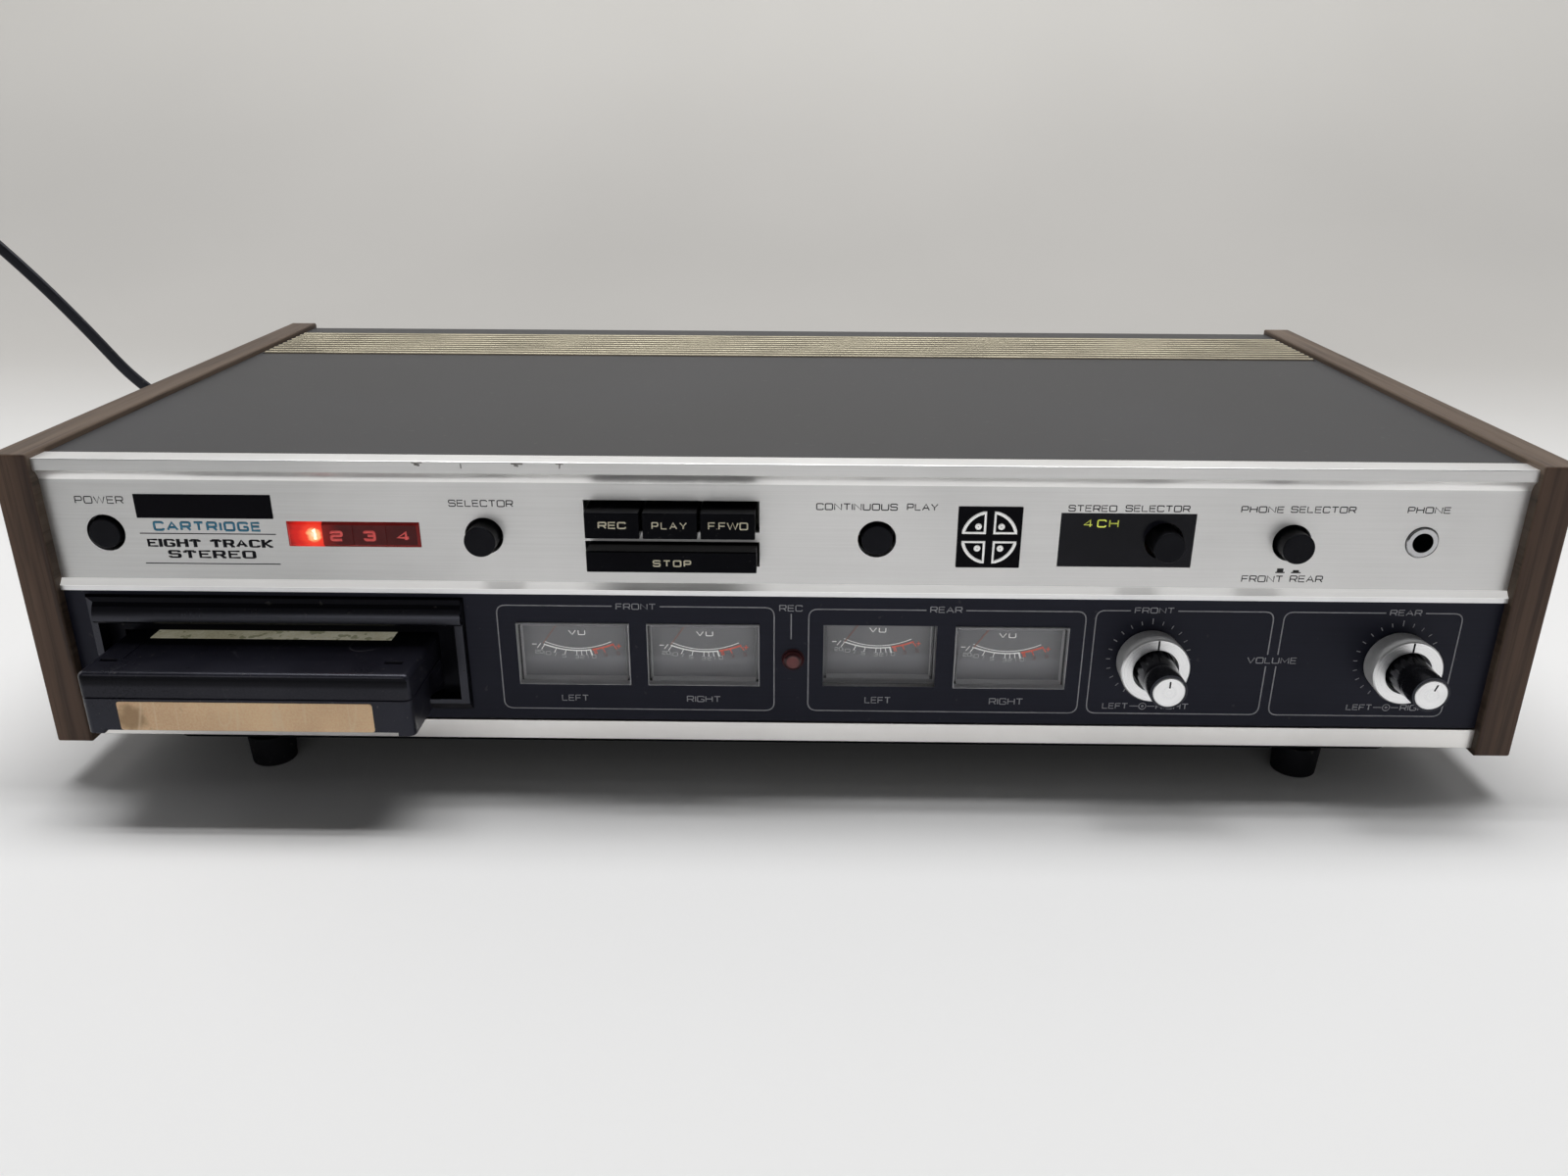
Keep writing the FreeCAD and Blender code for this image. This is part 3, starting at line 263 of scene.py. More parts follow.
# what a finish has unless its look says otherwise
plainLook = {
    "metallic": 0.0, "cloudScale": 14.0, "grainStretch": (1, 1, 1), "grainScale": 900.0, "grainTone": 0.12,
    "dust": 0.0, "dustScale": 420.0, "dustEdge": 0.66, "dustColour": paint(170, 165, 155),
    "scratch": 0.0, "scratchColour": paint(150, 150, 156),
    "paintedGlow": 0.0, "relief": 0.15, "reliefDepth": 0.00005,
    # paint and plastic gleam a little blue here
    "gleam": (0.82, 0.84, 1.0, 1.0),
}


def dusted(tree, colour, look):
    specks = cloud(tree, spotsOn(tree), look["dustScale"], 2.0, 0.5)
    edge = look["dustEdge"]
    dusty = steps(tree, specks, [(edge, 0.0), (edge + 0.05, look["dust"])])
    return blendColours(tree, dusty, colour, look["dustColour"])


def scratched(tree, colour, look):
    # thin winding lines, in some places only
    lines = cloud(tree, spotsOn(tree, (1, 0.5, 1)), 38.0, 2.0, 0.4, 1.2)
    where = steps(tree, cloud(tree, spotsOn(tree), 55.0, 2.0), [(0.52, 0.0), (0.66, look["scratch"])])
    thin = steps(tree, lines, [(0.492, 0.0), (0.5, 1.0), (0.508, 0.0)], False)
    lines = blendColours(tree, 1.0, thin, where, "MULTIPLY")
    return blendColours(tree, lines, colour, look["scratchColour"])


def finish(name, look):
    # one general finish: two tones in clouds, grain along an axis, dust, scratches and fine relief
    look = {**plainLook, **look}
    material, tree, shader = startMaterial(name, look["metallic"])
    clouds = cloud(tree, spotsOn(tree), look["cloudScale"], 5.0, 0.6)
    grain = cloud(tree, spotsOn(tree, look["grainStretch"]), look["grainScale"], 3.0, 0.6)
    colour = mottle(tree, look["grainTone"], twoTones(tree, clouds, look["tones"]), grain)
    if look["dust"]:
        colour = dusted(tree, colour, look)
    if look["scratch"]:
        colour = scratched(tree, colour, look)
    put(shader, "Base Color", colour)
    # painted light: a finish given a glow shines in its own colour
    if look["paintedGlow"]:
        put(shader, "Emission Color", colour)
        put(shader, "Emission Strength", look["paintedGlow"])
    put(shader, "Roughness", spread(tree, weigh(tree, clouds, 0.6, grain), *look["roughness"]))
    raiseSurface(tree, shader, grain, look["relief"], look["reliefDepth"])
    if "specular" in look:
        put(shader, "Specular IOR Level", look["specular"])
        put(shader, "Specular Tint", look["gleam"])
    return material


print("material helpers ready")


# walnut sides

walnutLook = {
    "pale": paint(106, 91, 78),
    "middle": paint(90, 75, 63),
    "deep": paint(66, 53, 44),
    "along": (1.0, 0.03, 1.0),
    "broadly": (1.0, 0.08, 1.0),
    "bandScale": 30.0,
    "poreScale": 520.0,
    "scuffScale": 160.0,
    "worn": paint(140, 128, 116),
    "roughness": (0.48, 0.62),
    "specular": 0.3,
}
# the front edges are cut across the sheet, and their grain stands upright
walnutFrontLook = dict(
    walnutLook, pale=paint(104, 82, 67), middle=paint(86, 66, 53), deep=paint(58, 41, 32),
    along=(1.0, 1.0, 0.03), broadly=(1.0, 1.0, 0.06),
)


def walnutFinish(name, look):
    material, tree, shader = startMaterial(name)
    streaks = cloud(tree, spotsOn(tree, look["along"]), look["bandScale"] * 5, 4.0, 0.6, 0.3)
    fine = cloud(tree, spotsOn(tree, look["along"]), look["poreScale"], 4.0, 0.65, 0.2)
    broad = cloud(tree, spotsOn(tree, look["broadly"]), look["bandScale"], 2.0, 0.5)
    figure = weigh(tree, streaks, 0.6, broad)
    wood = steps(tree, figure, [(0.36, look["deep"]), (0.5, look["middle"]), (0.64, look["pale"])])
    pores = steps(tree, fine, [(0.36, look["deep"]), (0.5, (1, 1, 1, 1))])
    wood = blendColours(tree, 0.35, wood, pores, "MULTIPLY")
    scuffs = cloud(tree, spotsOn(tree, look["broadly"]), look["scuffScale"], 6.0, 0.7)
    wood = blendColours(tree, steps(tree, scuffs, [(0.6, 0.0), (0.8, 0.2)]), wood, look["worn"])
    coat(tree, shader, look, wood, scuffs)
    raiseSurface(tree, shader, fine, 0.2, 0.0001)
    return material


# the other finishes, one look for each

coverLook = {
    "tones": ((42, 42, 44), (50, 50, 53)), "cloudScale": 7.0,
    "grainScale": 1500.0, "grainTone": 0.08, "dust": 0.06, "dustEdge": 0.7,
    "roughness": (0.46, 0.56), "relief": 0.25, "reliefDepth": 0.00004,
}
grilleLook = {
    "tones": ((150, 143, 124), (176, 169, 148)), "cloudScale": 22.0, "metallic": 0.85,
    "grainStretch": (0.03, 1, 1), "grainScale": 1300.0, "grainTone": 0.08,
    "roughness": (0.4, 0.5), "relief": 0.08,
}
# painted shade: the bars' sides and undersides are a darker, duller copy of the grille's finish
grilleSidePaintedShadeLook = dict(grilleLook, tones=((62, 54, 42), (80, 71, 56)), metallic=0.3, roughness=(0.55, 0.65))
panLook = {
    "tones": ((14, 14, 16), (22, 22, 24)), "cloudScale": 16.0,
    "grainScale": 1300.0, "grainTone": 0.12, "dust": 0.05,
    "roughness": (0.5, 0.65), "relief": 0.25, "specular": 0.08,
}
rubberLook = {
    "tones": ((12, 12, 13), (20, 20, 21)), "cloudScale": 60.0,
    "grainScale": 1800.0, "grainTone": 0.15, "dust": 0.05, "dustEdge": 0.68,
    "roughness": (0.7, 0.85), "relief": 0.3, "specular": 0.15,
}
fasciaLook = {
    "tones": ((194, 194, 193), (220, 219, 218)), "cloudScale": 4.0, "metallic": 0.97,
    "grainStretch": (0.012, 1, 1), "grainScale": 1500.0, "grainTone": 0.05,
    "roughness": (0.34, 0.42), "relief": 0.08, "reliefDepth": 0.00002,
}
trimLook = {
    "tones": ((244, 241, 238), (253, 251, 248)), "cloudScale": 14.0, "metallic": 0.95,
    "grainStretch": (0.01, 1, 1), "grainScale": 1400.0, "grainTone": 0.06,
    "roughness": (0.3, 0.4), "relief": 0.08, "reliefDepth": 0.00002,
}
blackPanelLook = {
    "tones": ((20, 21, 31), (27, 28, 38)), "cloudScale": 12.0,
    "grainStretch": (0.015, 1, 1), "grainScale": 1500.0, "grainTone": 0.08, "dust": 0.04, "dustEdge": 0.72,
    "roughness": (0.36, 0.46), "relief": 0.08, "reliefDepth": 0.00002, "specular": 0.2,
}
bezelLook = {
    "tones": ((10, 10, 14), (18, 18, 22)), "cloudScale": 24.0,
    "grainScale": 1600.0, "grainTone": 0.08, "dust": 0.06, "dustEdge": 0.7,
    "roughness": (0.2, 0.3), "relief": 0.06, "specular": 0.58,
}
buttonLook = {
    "tones": ((14, 14, 16), (21, 21, 23)), "cloudScale": 90.0,
    "grainScale": 2200.0, "grainTone": 0.08, "dust": 0.05, "dustEdge": 0.7, "dustScale": 900.0,
    "roughness": (0.36, 0.48), "relief": 0.08, "specular": 0.12,
}
keyLook = dict(buttonLook, tones=((8, 8, 10), (12, 12, 15)), roughness=(0.2, 0.3), specular=0.05)
knobBlackLook = dict(buttonLook, tones=((10, 10, 12), (15, 15, 17)), roughness=(0.1, 0.18), specular=0.5)
cartridgeLook = {
    "tones": ((18, 18, 25), (29, 29, 37)), "cloudScale": 30.0, "scratch": 0.3,
    "grainScale": 1500.0, "grainTone": 0.10, "dust": 0.12, "dustEdge": 0.68, "dustScale": 700.0,
    "roughness": (0.24, 0.36), "relief": 0.12, "reliefDepth": 0.00003, "specular": 0.34,
}
# the shell's front: a painted highlight along its rounded edge and painted shade under it, multiplied into
# the black plastic
shellFrontPaintedSheenLook = {
    "finish": dict(cartridgeLook, tones=((84, 84, 92), (92, 92, 100)), specular=0.08),
    "from": 29.0, "to": 37.4,
    "stops": [(0.0, 0.34), (0.42, 0.34), (0.6, 0.1), (0.76, 0.02), (0.86, 0.1), (0.95, 0.9)],
}
cordLook = {
    "tones": ((8, 9, 11), (14, 15, 18)), "cloudScale": 80.0,
    "grainScale": 900.0, "grainTone": 0.12, "dust": 0.05,
    "roughness": (0.36, 0.52), "relief": 0.12, "specular": 0.35,
}
steelLook = {
    "tones": ((150, 150, 148), (190, 190, 188)), "cloudScale": 30.0, "metallic": 1.0,
    "grainScale": 1400.0, "grainTone": 0.12, "roughness": (0.3, 0.5), "relief": 0.12,
}
bareEdgeLook = dict(steelLook, tones=((170, 170, 170), (200, 200, 200)), metallic=0.7)
screwLook = dict(steelLook, tones=((96, 94, 90), (130, 128, 122)), roughness=(0.34, 0.55))
chromeLook = dict(
    steelLook, tones=((190, 190, 192), (206, 206, 208)), grainTone=0.04, roughness=(0.12, 0.2), relief=0.03,
)
brassLook = dict(steelLook, tones=((168, 140, 84), (206, 178, 116)), roughness=(0.24, 0.4))
boardLook = {
    "tones": ((120, 84, 44), (150, 108, 62)), "cloudScale": 40.0,
    "grainScale": 800.0, "grainTone": 0.25, "roughness": (0.45, 0.65), "relief": 0.3,
}
tapeLook = {
    "tones": ((54, 34, 24), (78, 52, 36)), "cloudScale": 50.0,
    "grainScale": 1800.0, "grainTone": 0.2, "roughness": (0.2, 0.34), "relief": 0.1,
}
caseLook = {
    "tones": ((36, 36, 38), (46, 46, 48)), "cloudScale": 60.0,
    "grainScale": 1500.0, "grainTone": 0.06, "roughness": (0.5, 0.6), "relief": 0.08, "specular": 0.25,
}
lampLook = dict(caseLook, tones=((206, 204, 196), (222, 220, 212)))
needleLook = {
    "tones": ((150, 96, 84), (166, 108, 94)), "cloudScale": 200.0,
    "grainScale": 2600.0, "grainTone": 0.05, "roughness": (0.4, 0.5), "relief": 0.03,
}


def plainFinish(name, look):
    # one cloud for tone and gloss, on smooth moulded plastic
    material, tree, shader = startMaterial(name)
    clouds = cloud(tree, spotsOn(tree), look["cloudScale"], 4.0, 0.6)
    coat(tree, shader, look, twoTones(tree, clouds, look["tones"]), clouds)
    return material, tree, shader, clouds


def ripple(tree, shader):
    # the slight unevenness of moulded plastic
    raiseSurface(tree, shader, cloud(tree, spotsOn(tree), 500.0), 0.04, 0.00003)


smokeLook = {
    "tones": ((20, 20, 26), (25, 25, 32)), "cloudScale": 60.0, "roughness": (0.1, 0.18), "specular": 0.15,
}


def smokedFinish(look):
    material, tree, shader, clouds = plainFinish("smokedWindow", look)
    ripple(tree, shader)
    return material


# the window over the programme numbers: the lit lamp shows through its first cell
windowLook = {
    "tones": ((88, 22, 22), (106, 27, 28)), "cloudScale": 90.0, "roughness": (0.14, 0.24), "specular": 0.2,
    "lamp": (-145.8, 0.0, 72.7), "reach": 9.0, "cellEnd": -143.0, "fade": 12.0, "strength": 1.0, "lit": True,
    "light": [
        (0.0, paint(255, 236, 200)), (0.16, paint(255, 190, 130)), (0.3, paint(236, 58, 36)),
        (0.62, paint(196, 26, 18)), (1.0, paint(110, 14, 12)),
    ],
}
windowRimLook = dict(windowLook, tones=((148, 38, 36), (172, 52, 48)), lit=False)


def windowFinish(name, look):
    # red moulding: the near lamp makes it glow, and the glow stays inside its own cell
    material, tree, shader, clouds = plainFinish(name, look)
    lamp = place(*look["lamp"])
    near = reckon(tree, "DIVIDE", apart(tree, lamp), look["reach"] * mm)
    uneven = wander(tree, near, cloud(tree, spotsOn(tree, (0.6, 1, 1.6)), 420.0, 3.0), 0.22)
    sideways = axesFrom(tree, lamp)["X"]
    inside = reckon(tree, "LESS_THAN", sideways, (look["cellEnd"] - look["lamp"][0]) * mm)
    across = reckon(tree, "DIVIDE", sideways, look["fade"] * mm)
    beyond = steps(tree, across, [(0.0, 0.0), (0.3, 0.16), (0.8, 0.0)]) if look["lit"] else (0, 0, 0, 1)
    glowing = blendColours(tree, inside, beyond, (1, 1, 1, 1))
    light = steps(tree, uneven, look["light"])
    put(shader, "Emission Color", blendColours(tree, 1.0, light, glowing, "MULTIPLY"))
    put(shader, "Emission Strength", look["strength"])
    ripple(tree, shader)
    return material


recordingLampLook = {
    "spot": (4.4, 0.0, 31.2), "reach": 3.3, "cloudScale": 300.0, "roughness": (0.16, 0.28), "specular": 0.4,
    "rings": [
        (0.0, paint(104, 50, 49)), (0.55, paint(104, 50, 49)), (0.68, paint(56, 24, 27)),
        (0.82, paint(56, 24, 27)), (0.95, paint(92, 48, 50)),
    ],
}


def recordingLampFinish(look):
    # the lamp's dome inside its darker rim
    material, tree, shader = startMaterial("recordingLampRed")
    away = reckon(tree, "DIVIDE", apart(tree, place(*look["spot"])), look["reach"] * mm)
    clouds = cloud(tree, spotsOn(tree), look["cloudScale"], 3.0)
    coat(tree, shader, look, mottle(tree, 0.15, steps(tree, away, look["rings"]), clouds), clouds)
    return material


dialPaintedLightLook = {
    "from": 20.0, "to": 45.0, "cloudScale": 60.0, "roughness": (0.5, 0.6), "specular": 0.2,
    "card": [
        (0.16, paint(156, 156, 160)), (0.28, paint(156, 156, 160)),
        (0.42, paint(138, 138, 141)), (1.0, paint(136, 136, 139)),
    ],
}


def dialFinish(look):
    # grey card with painted light: a little lighter towards its lower edge, where less light gets in
    material, tree, shader = startMaterial("meterDialGrey")
    card = steps(tree, heightUp(tree, look["from"], look["to"]), look["card"])
    clouds = cloud(tree, spotsOn(tree), look["cloudScale"], 4.0)
    coat(tree, shader, look, mottle(tree, 0.06, card, clouds), clouds)
    return material


coverPaneLook = {
    "tones": ((228, 228, 231), (238, 238, 240)), "cloudScale": 90.0,
    "alpha": 0.05, "roughness": (0.06, 0.14), "specular": 0.5,
}
# painted light: the cover's slanted edges and its walls are pale and nearly opaque, standing in for the light
# that the clear plastic catches there
coverEdgePaintedLightLook = dict(coverPaneLook, tones=((236, 236, 238), (238, 238, 240)), alpha=0.7, roughness=(0.2, 0.3))
coverWallPaintedLightLook = dict(coverEdgePaintedLightLook, roughness=(0.3, 0.4))


def clearFinish(name, look):
    # clear moulded cover, thin enough that its light is taken as going straight through
    material, tree, shader, haze = plainFinish(name, look)
    put(shader, "Alpha", look["alpha"])
    raiseSurface(tree, shader, haze, 0.02, 0.00005)
    return material


turnedLook = {
    "tones": ((240, 240, 241), (248, 248, 248)), "metallic": 0.9, "rings": 3600.0,
    "roughness": (0.26, 0.32), "specular": 0.5,
}
capLook = dict(turnedLook, rings=1500.0)
ringSideLook = {
    "tones": ((226, 226, 227), (246, 246, 246)), "cloudScale": 60.0, "metallic": 0.2,
    "grainStretch": (1, 0.02, 1), "grainScale": 2200.0, "roughness": (0.34, 0.46), "relief": 0.1,
}


def turnedFinish(name, look, centre):
    # metal turned on a lathe: fine rings round its own axis
    material, tree, shader = startMaterial(name, look["metallic"])
    spot = axesFrom(tree, centre)
    groove = tree.nodes.new("ShaderNodeCombineXYZ")
    put(groove, "X", apart(tree, centre))
    put(groove, "Y", reckon(tree, "MULTIPLY", spot["Y"], 0.6))
    rings = cloud(tree, groove.outputs["Vector"], look["rings"], 3.0, 0.6)
    coat(tree, shader, look, twoTones(tree, rings, look["tones"]), rings)
    raiseSurface(tree, shader, rings, 0.03, 0.00002)
    # the tangent follows the grooves, so that highlights fan out from the middle
    around = tree.nodes.new("ShaderNodeCombineXYZ")
    put(around, "X", spot["Z"])
    put(around, "Z", reckon(tree, "MULTIPLY", spot["X"], -1.0))
    turnOver = tree.nodes.new("ShaderNodeVectorTransform")
    turnOver.vector_type = "VECTOR"
    turnOver.convert_from, turnOver.convert_to = "OBJECT", "WORLD"
    put(turnOver, "Vector", around.outputs["Vector"])
    straight = tree.nodes.new("ShaderNodeVectorMath")
    straight.operation = "NORMALIZE"
    plug(straight.inputs[0], turnOver.outputs["Vector"])
    put(shader, "Tangent", straight.outputs["Vector"])
    put(shader, "Anisotropic", 0.7)
    return material


finishes = {
    "walnut": walnutFinish("wornWalnut", walnutLook),
    "cover_black": finish("coverBlackPaint", coverLook),
    "grille_gold": finish("champagneAluminium", grilleLook),
    "pan_black": finish("panBlackPaint", panLook),
    "rubber": finish("agedRubber", rubberLook),
    "fascia_silver": finish("brushedFascia", fasciaLook),
    "fascia_black": finish("blackSatinPanel", blackPanelLook),
    "bezel_black": finish("slotFrameBlack", bezelLook),
    "screw": finish("screwSteel", screwLook),
    "red_lens": windowFinish("programmeWindowCells", windowLook),
    "lamp": finish("lampHolderWhite", lampLook),
    "smoke_window": smokedFinish(smokeLook),
    "chrome": finish("jackChrome", chromeLook),
    "dial": finish("meterCaseGrey", caseLook),
    "clear": clearFinish("meterCoverWallPaintedLight", coverWallPaintedLightLook),
    "needle": finish("needleDull", needleLook),
    "button_black": finish("buttonSatinBlack", buttonLook),
    "key_black": finish("keyGlossBlack", keyLook),
    "knob_black": finish("knobBlack", knobBlackLook),
    "ring_silver": finish("ringSideBrushed", ringSideLook),
    "inner_steel": finish("platedSteel", steelLook),
    "brass": finish("satinBrass", brassLook),
    "belt": finish("beltRubber", rubberLook),
    "board": finish("phenolicBoard", boardLook),
    "cartridge_black": finish("cartridgeBlack", cartridgeLook),
    "tape": finish("tapeBrown", tapeLook),
    "cord": finish("cordBlack", cordLook),
}
# nodes that differ from the others of their slot
ownFinishes = {
    "bottom_trim": finish("brushedTrim", trimLook),
    "rec_lamp": recordingLampFinish(recordingLampLook),
}


def dressNodes():
    slotOf = {part["node"]: part["material_slot"] for part in frame["record"]["subparts"]}
    for name, node in nodes.items():
        material = ownFinishes.get(name) or finishes[slotOf[name]]
        node.data.materials.clear()
        node.data.materials.append(material)
        for face in node.data.polygons:
            face.material_index = 0


def dressFaces(name, material, chosen):
    # gives a second finish to the faces of a node that the test picks out
    node = nodes[name]
    node.data.materials.append(material)
    slotNumber = len(node.data.materials) - 1
    for face in node.data.polygons:
        if chosen(face.normal, [node.data.vertices[i].co for i in face.vertices]):
            face.material_index = slotNumber


# the hollow above the bead glows with painted light, as if it caught light from all over, and has painted
# shade where things stand in front of it; each shade has its place, its half width and its depth
beadPaintedGlowLook = {
    "finish": dict(trimLook, tones=((236, 235, 233), (248, 247, 245)), metallic=0.6), "strength": 0.5,
    "paintedShadeDips": ((-33.2, 34.0, 0.85), (-87.0, 9.0, 0.4), (112.6, 9.0, 0.36), (150.4, 10.0, 0.36)),
}


def beadPaintedGlowFinish(look):
    material = finish("brushedBeadPaintedGlow", look["finish"])
    tree = material.node_tree
    shader = tree.nodes["Principled BSDF"]
    paintedLight = 1.0
    for x, half, depth in look["paintedShadeDips"]:
        away = reckon(tree, "ABSOLUTE", axesFrom(tree, place(x, 0, 0))["X"])
        near = steps(tree, reckon(tree, "DIVIDE", away, half * mm), [(0.4, 1.0 - depth), (1.0, 1.0)])
        paintedLight = reckon(tree, "MULTIPLY", near, paintedLight)
    # painted light: the bead glows in its own colour, dimmed where the painted shade dips lie
    metal = shader.inputs["Base Color"].links[0].from_socket
    put(shader, "Emission Color", blendColours(tree, 1.0, metal, paintedLight, "MULTIPLY"))
    put(shader, "Emission Strength", look["strength"])
    return material


def shellPaintedSheenFinish(look):
    # the front of the shell rounds over: a painted highlight along its edge, and painted shade just under
    # that
    material = finish("cartridgeFrontPaintedSheen", look["finish"])
    tree = material.node_tree
    tone = tree.nodes["Principled BSDF"].inputs["Base Color"]
    shade = steps(tree, heightUp(tree, look["from"], look["to"]), look["stops"])
    plug(tone, blendColours(tree, 1.0, tone.links[0].from_socket, shade, "MULTIPLY"))
    return material


# heights and depths at which the second finishes end
detailPlaces = {
    "hoodTop": 48.6, "recess": 2.2, "beadTop": 57.4, "lipFoot": 89.1, "dialFaces": (10.5, 13.7),
    # two corners of the third meter's window, whose cut edge is bare metal
    "windowLow": (13.5, 0.0, 21.0), "windowHigh": (51.5, 0.0, 44.5), "knobCaps": -20.25,
}
knobPlaces = {"front": (119.15, 32.5), "rear": (198.6, 32.5)}
# painted light: lighter, less metallic copies of the trim's finish, one for the lip's upper faces and the
# faces below the bead's top, one for the faces under the lip
lipPaintedLightLook = dict(trimLook, tones=((242, 242, 242), (252, 252, 252)), metallic=0.75)
underLipPaintedLightLook = dict(trimLook, tones=((246, 245, 243), (254, 253, 251)), metallic=0.8)
slotInsideLook = dict(bezelLook, specular=0.06)


def lowest(corners):
    return min(c.z for c in corners)


def highest(corners):
    return max(c.z for c in corners)


def dressCase(spots):
    hoodTop, recess = place(0, 0, spots["hoodTop"]).z, place(0, spots["recess"], 0).y
    beadTop, lipFoot = (place(0, 0, spots[name]).z for name in ("beadTop", "lipFoot"))
    upright = walnutFinish("walnutFrontEdge", walnutFrontLook)
    for side in ("left", "right"):
        dressFaces("side_panel_" + side, upright, lambda n, corners: n.y < -0.6)
    # painted shade on the sides and undersides of the grille's bars
    paintedShadeBars = finish("grilleBarSidesPaintedShade", grilleSidePaintedShadeLook)
    dressFaces("vent_grille", paintedShadeBars, lambda n, corners: abs(n.y) > 0.55 or n.z < -0.5)
    dressFaces("cartridge_top_shell", shellPaintedSheenFinish(shellFrontPaintedSheenLook), lambda n, corners: n.y < -0.8)
    dressFaces(
        "slot_bezel", finish("slotFrameDim", slotInsideLook),
        lambda n, corners: lowest(corners) > hoodTop or min(c.y for c in corners) > recess,
    )
    # painted light on the lip's upper faces and on the faces below the bead's top
    dressFaces(
        "upper_fascia", finish("brushedLipPaintedLight", lipPaintedLightLook),
        lambda n, corners: n.z > 0.5 or highest(corners) < beadTop,
    )
    # painted light on the bead's upward slope
    dressFaces(
        "upper_fascia", beadPaintedGlowFinish(beadPaintedGlowLook),
        lambda n, corners: n.z > 0.06 and highest(corners) < beadTop and n.y < 0,
    )
    # painted light on the faces under the lip
    dressFaces(
        "upper_fascia", finish("brushedUnderLipPaintedLight", underLipPaintedLightLook),
        lambda n, corners: n.z < -0.08 and n.y < 0 and lowest(corners) > lipFoot,
    )


def dressInstruments(spots):
    rims = windowFinish("programmeWindowRim", windowRimLook)
    dressFaces("program_lens", rims, lambda n, corners: n.y > -0.95)
    pane, edge = clearFinish("meterCoverPane", coverPaneLook), clearFinish("meterCoverEdgePaintedLight", coverEdgePaintedLightLook)
    # the slanted edges get the pale, nearly opaque finish with painted light
    dressFaces("vu_covers", pane, lambda n, corners: abs(n.y) > 0.98)
    dressFaces("vu_covers", edge, lambda n, corners: 0.15 < abs(n.y) < 0.98)
    fronts = [place(0, front, 0).y for front in spots["dialFaces"]]
    dressFaces(
        "vu_cases", dialFinish(dialPaintedLightLook),
        lambda n, corners: n.y < -0.98 and any(abs(corners[0].y - front) < 0.02 * mm for front in fronts),
    )
    low, high = place(*spots["windowLow"]), place(*spots["windowHigh"])
    dressFaces(
        "lower_fascia", finish("bareCutEdge", bareEdgeLook),
        lambda n, corners: abs(n.y) < 0.2
        and all(low.x < c.x < high.x and low.z < c.z < high.z for c in corners),
    )
    # the turned aluminium cap is part of the knob's own solid
    capEdge = place(0, spots["knobCaps"], 0).y
    for side, (x, z) in knobPlaces.items():
        centre = place(x, 0, z)
        ring = turnedFinish("turnedRing_" + side, turnedLook, centre)
        dressFaces("volume_ring_" + side, ring, lambda n, corners: n.y < -0.4)
        cap = turnedFinish("turnedCap_" + side, capLook, centre)
        dressFaces("volume_knob_" + side, cap, lambda n, corners: min(c.y for c in corners) < capEdge)


dressNodes()
dressCase(detailPlaces)
dressInstruments(detailPlaces)
print("every node has its finish")


# mains lead

leadLook = {
    "route": (
        (-0.190, 0.1468, 0.036), (-0.190, 0.173, 0.036), (-0.208, 0.193, 0.036), (-0.240, 0.202, 0.0365),
        (-0.283, 0.201, 0.040), (-0.322, 0.196, 0.048), (-0.3524, 0.190, 0.0625), (-0.383, 0.190, 0.1035),
        (-0.411, 0.190, 0.136), (-0.433, 0.190, 0.1577),
    ),
    "length": 0.326,
    "width": 0.006,
    "flat": 0.0014,
    "half": 0.0016,
}


def makeLead(look):
    curve = bpy.data.curves.new("mains_lead", "CURVE")
    curve.dimensions = "3D"
    spline = curve.splines.new("NURBS")
    spline.points.add(len(look["route"]) - 1)
    for point, spot in zip(spline.points, look["route"]):
        point.co = (*spot, 1)
    spline.order_u = 3
    spline.use_endpoint_u = True
    spline.resolution_u = 24
    curve.bevel_depth = look["half"]
    curve.extrude = look["flat"]
    curve.bevel_resolution = 3
    curve.use_fill_caps = True
    lead = bpy.data.objects.new("mains_lead", curve)
    bpy.context.scene.collection.objects.link(lead)
    curve.materials.append(finishes["cord"])
    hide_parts("power_cord")
    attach(lead, "cabinet")


makeLead(leadLook)
print("mains lead laid")


# inks and printed lettering

inkTones = {
    "inkDarkGrey": ((44, 44, 43), (58, 57, 56)),
    "inkBlack": ((14, 14, 17), (22, 22, 25)),
    "inkBlue": ((62, 128, 160), (80, 146, 176)),
    "inkPale": ((160, 160, 164), (176, 176, 180)),
    "inkCream": ((226, 218, 192), (238, 230, 206)),
    "inkWhite": ((240, 240, 238), (250, 250, 248)),
    "inkRed": ((222, 100, 80), (234, 116, 94)),
    "inkFaint": ((206, 206, 208), (218, 218, 220)),
    "inkDimRed": ((206, 84, 82), (220, 98, 94)),
    "inkFaintRed": ((132, 82, 78), (144, 92, 86)),
}
inkLook = {
    "cloudScale": 400.0, "grainScale": 3000.0, "grainTone": 0.06,
    "roughness": (0.4, 0.55), "relief": 0.05, "reliefDepth": 0.00001, "specular": 0.15,
}
# painted light: these inks glow a little; on the scales it stands in for the light that the covers take, and
# the badge's white quarters and the unlit programme digits glow with it
inkPaintedGlow = {"inkWhite": 0.3, "inkRed": 0.25, "inkFaint": 0.12, "inkDimRed": 0.3}
inks = {}
for inkName, tones in inkTones.items():
    inks[inkName] = finish(inkName, dict(inkLook, tones=tones, paintedGlow=inkPaintedGlow.get(inkName, 0.0)))


def glow(name, tones, strength):
    material, tree, shader = startMaterial(name)
    stops = [(0.35, paint(*tones[0])), (0.65, paint(*tones[1]))]
    tone = steps(tree, cloud(tree, spotsOn(tree), 300.0, 2.0), stops)
    put(shader, "Base Color", tone)
    put(shader, "Emission Color", tone)
    put(shader, "Emission Strength", strength)
    return material


def pick(parts):
    # selects these objects alone, the first of them active
    bpy.ops.object.select_all(action="DESELECT")
    for part in parts:
        part.select_set(True)
    bpy.context.view_layer.objects.active = parts[0]


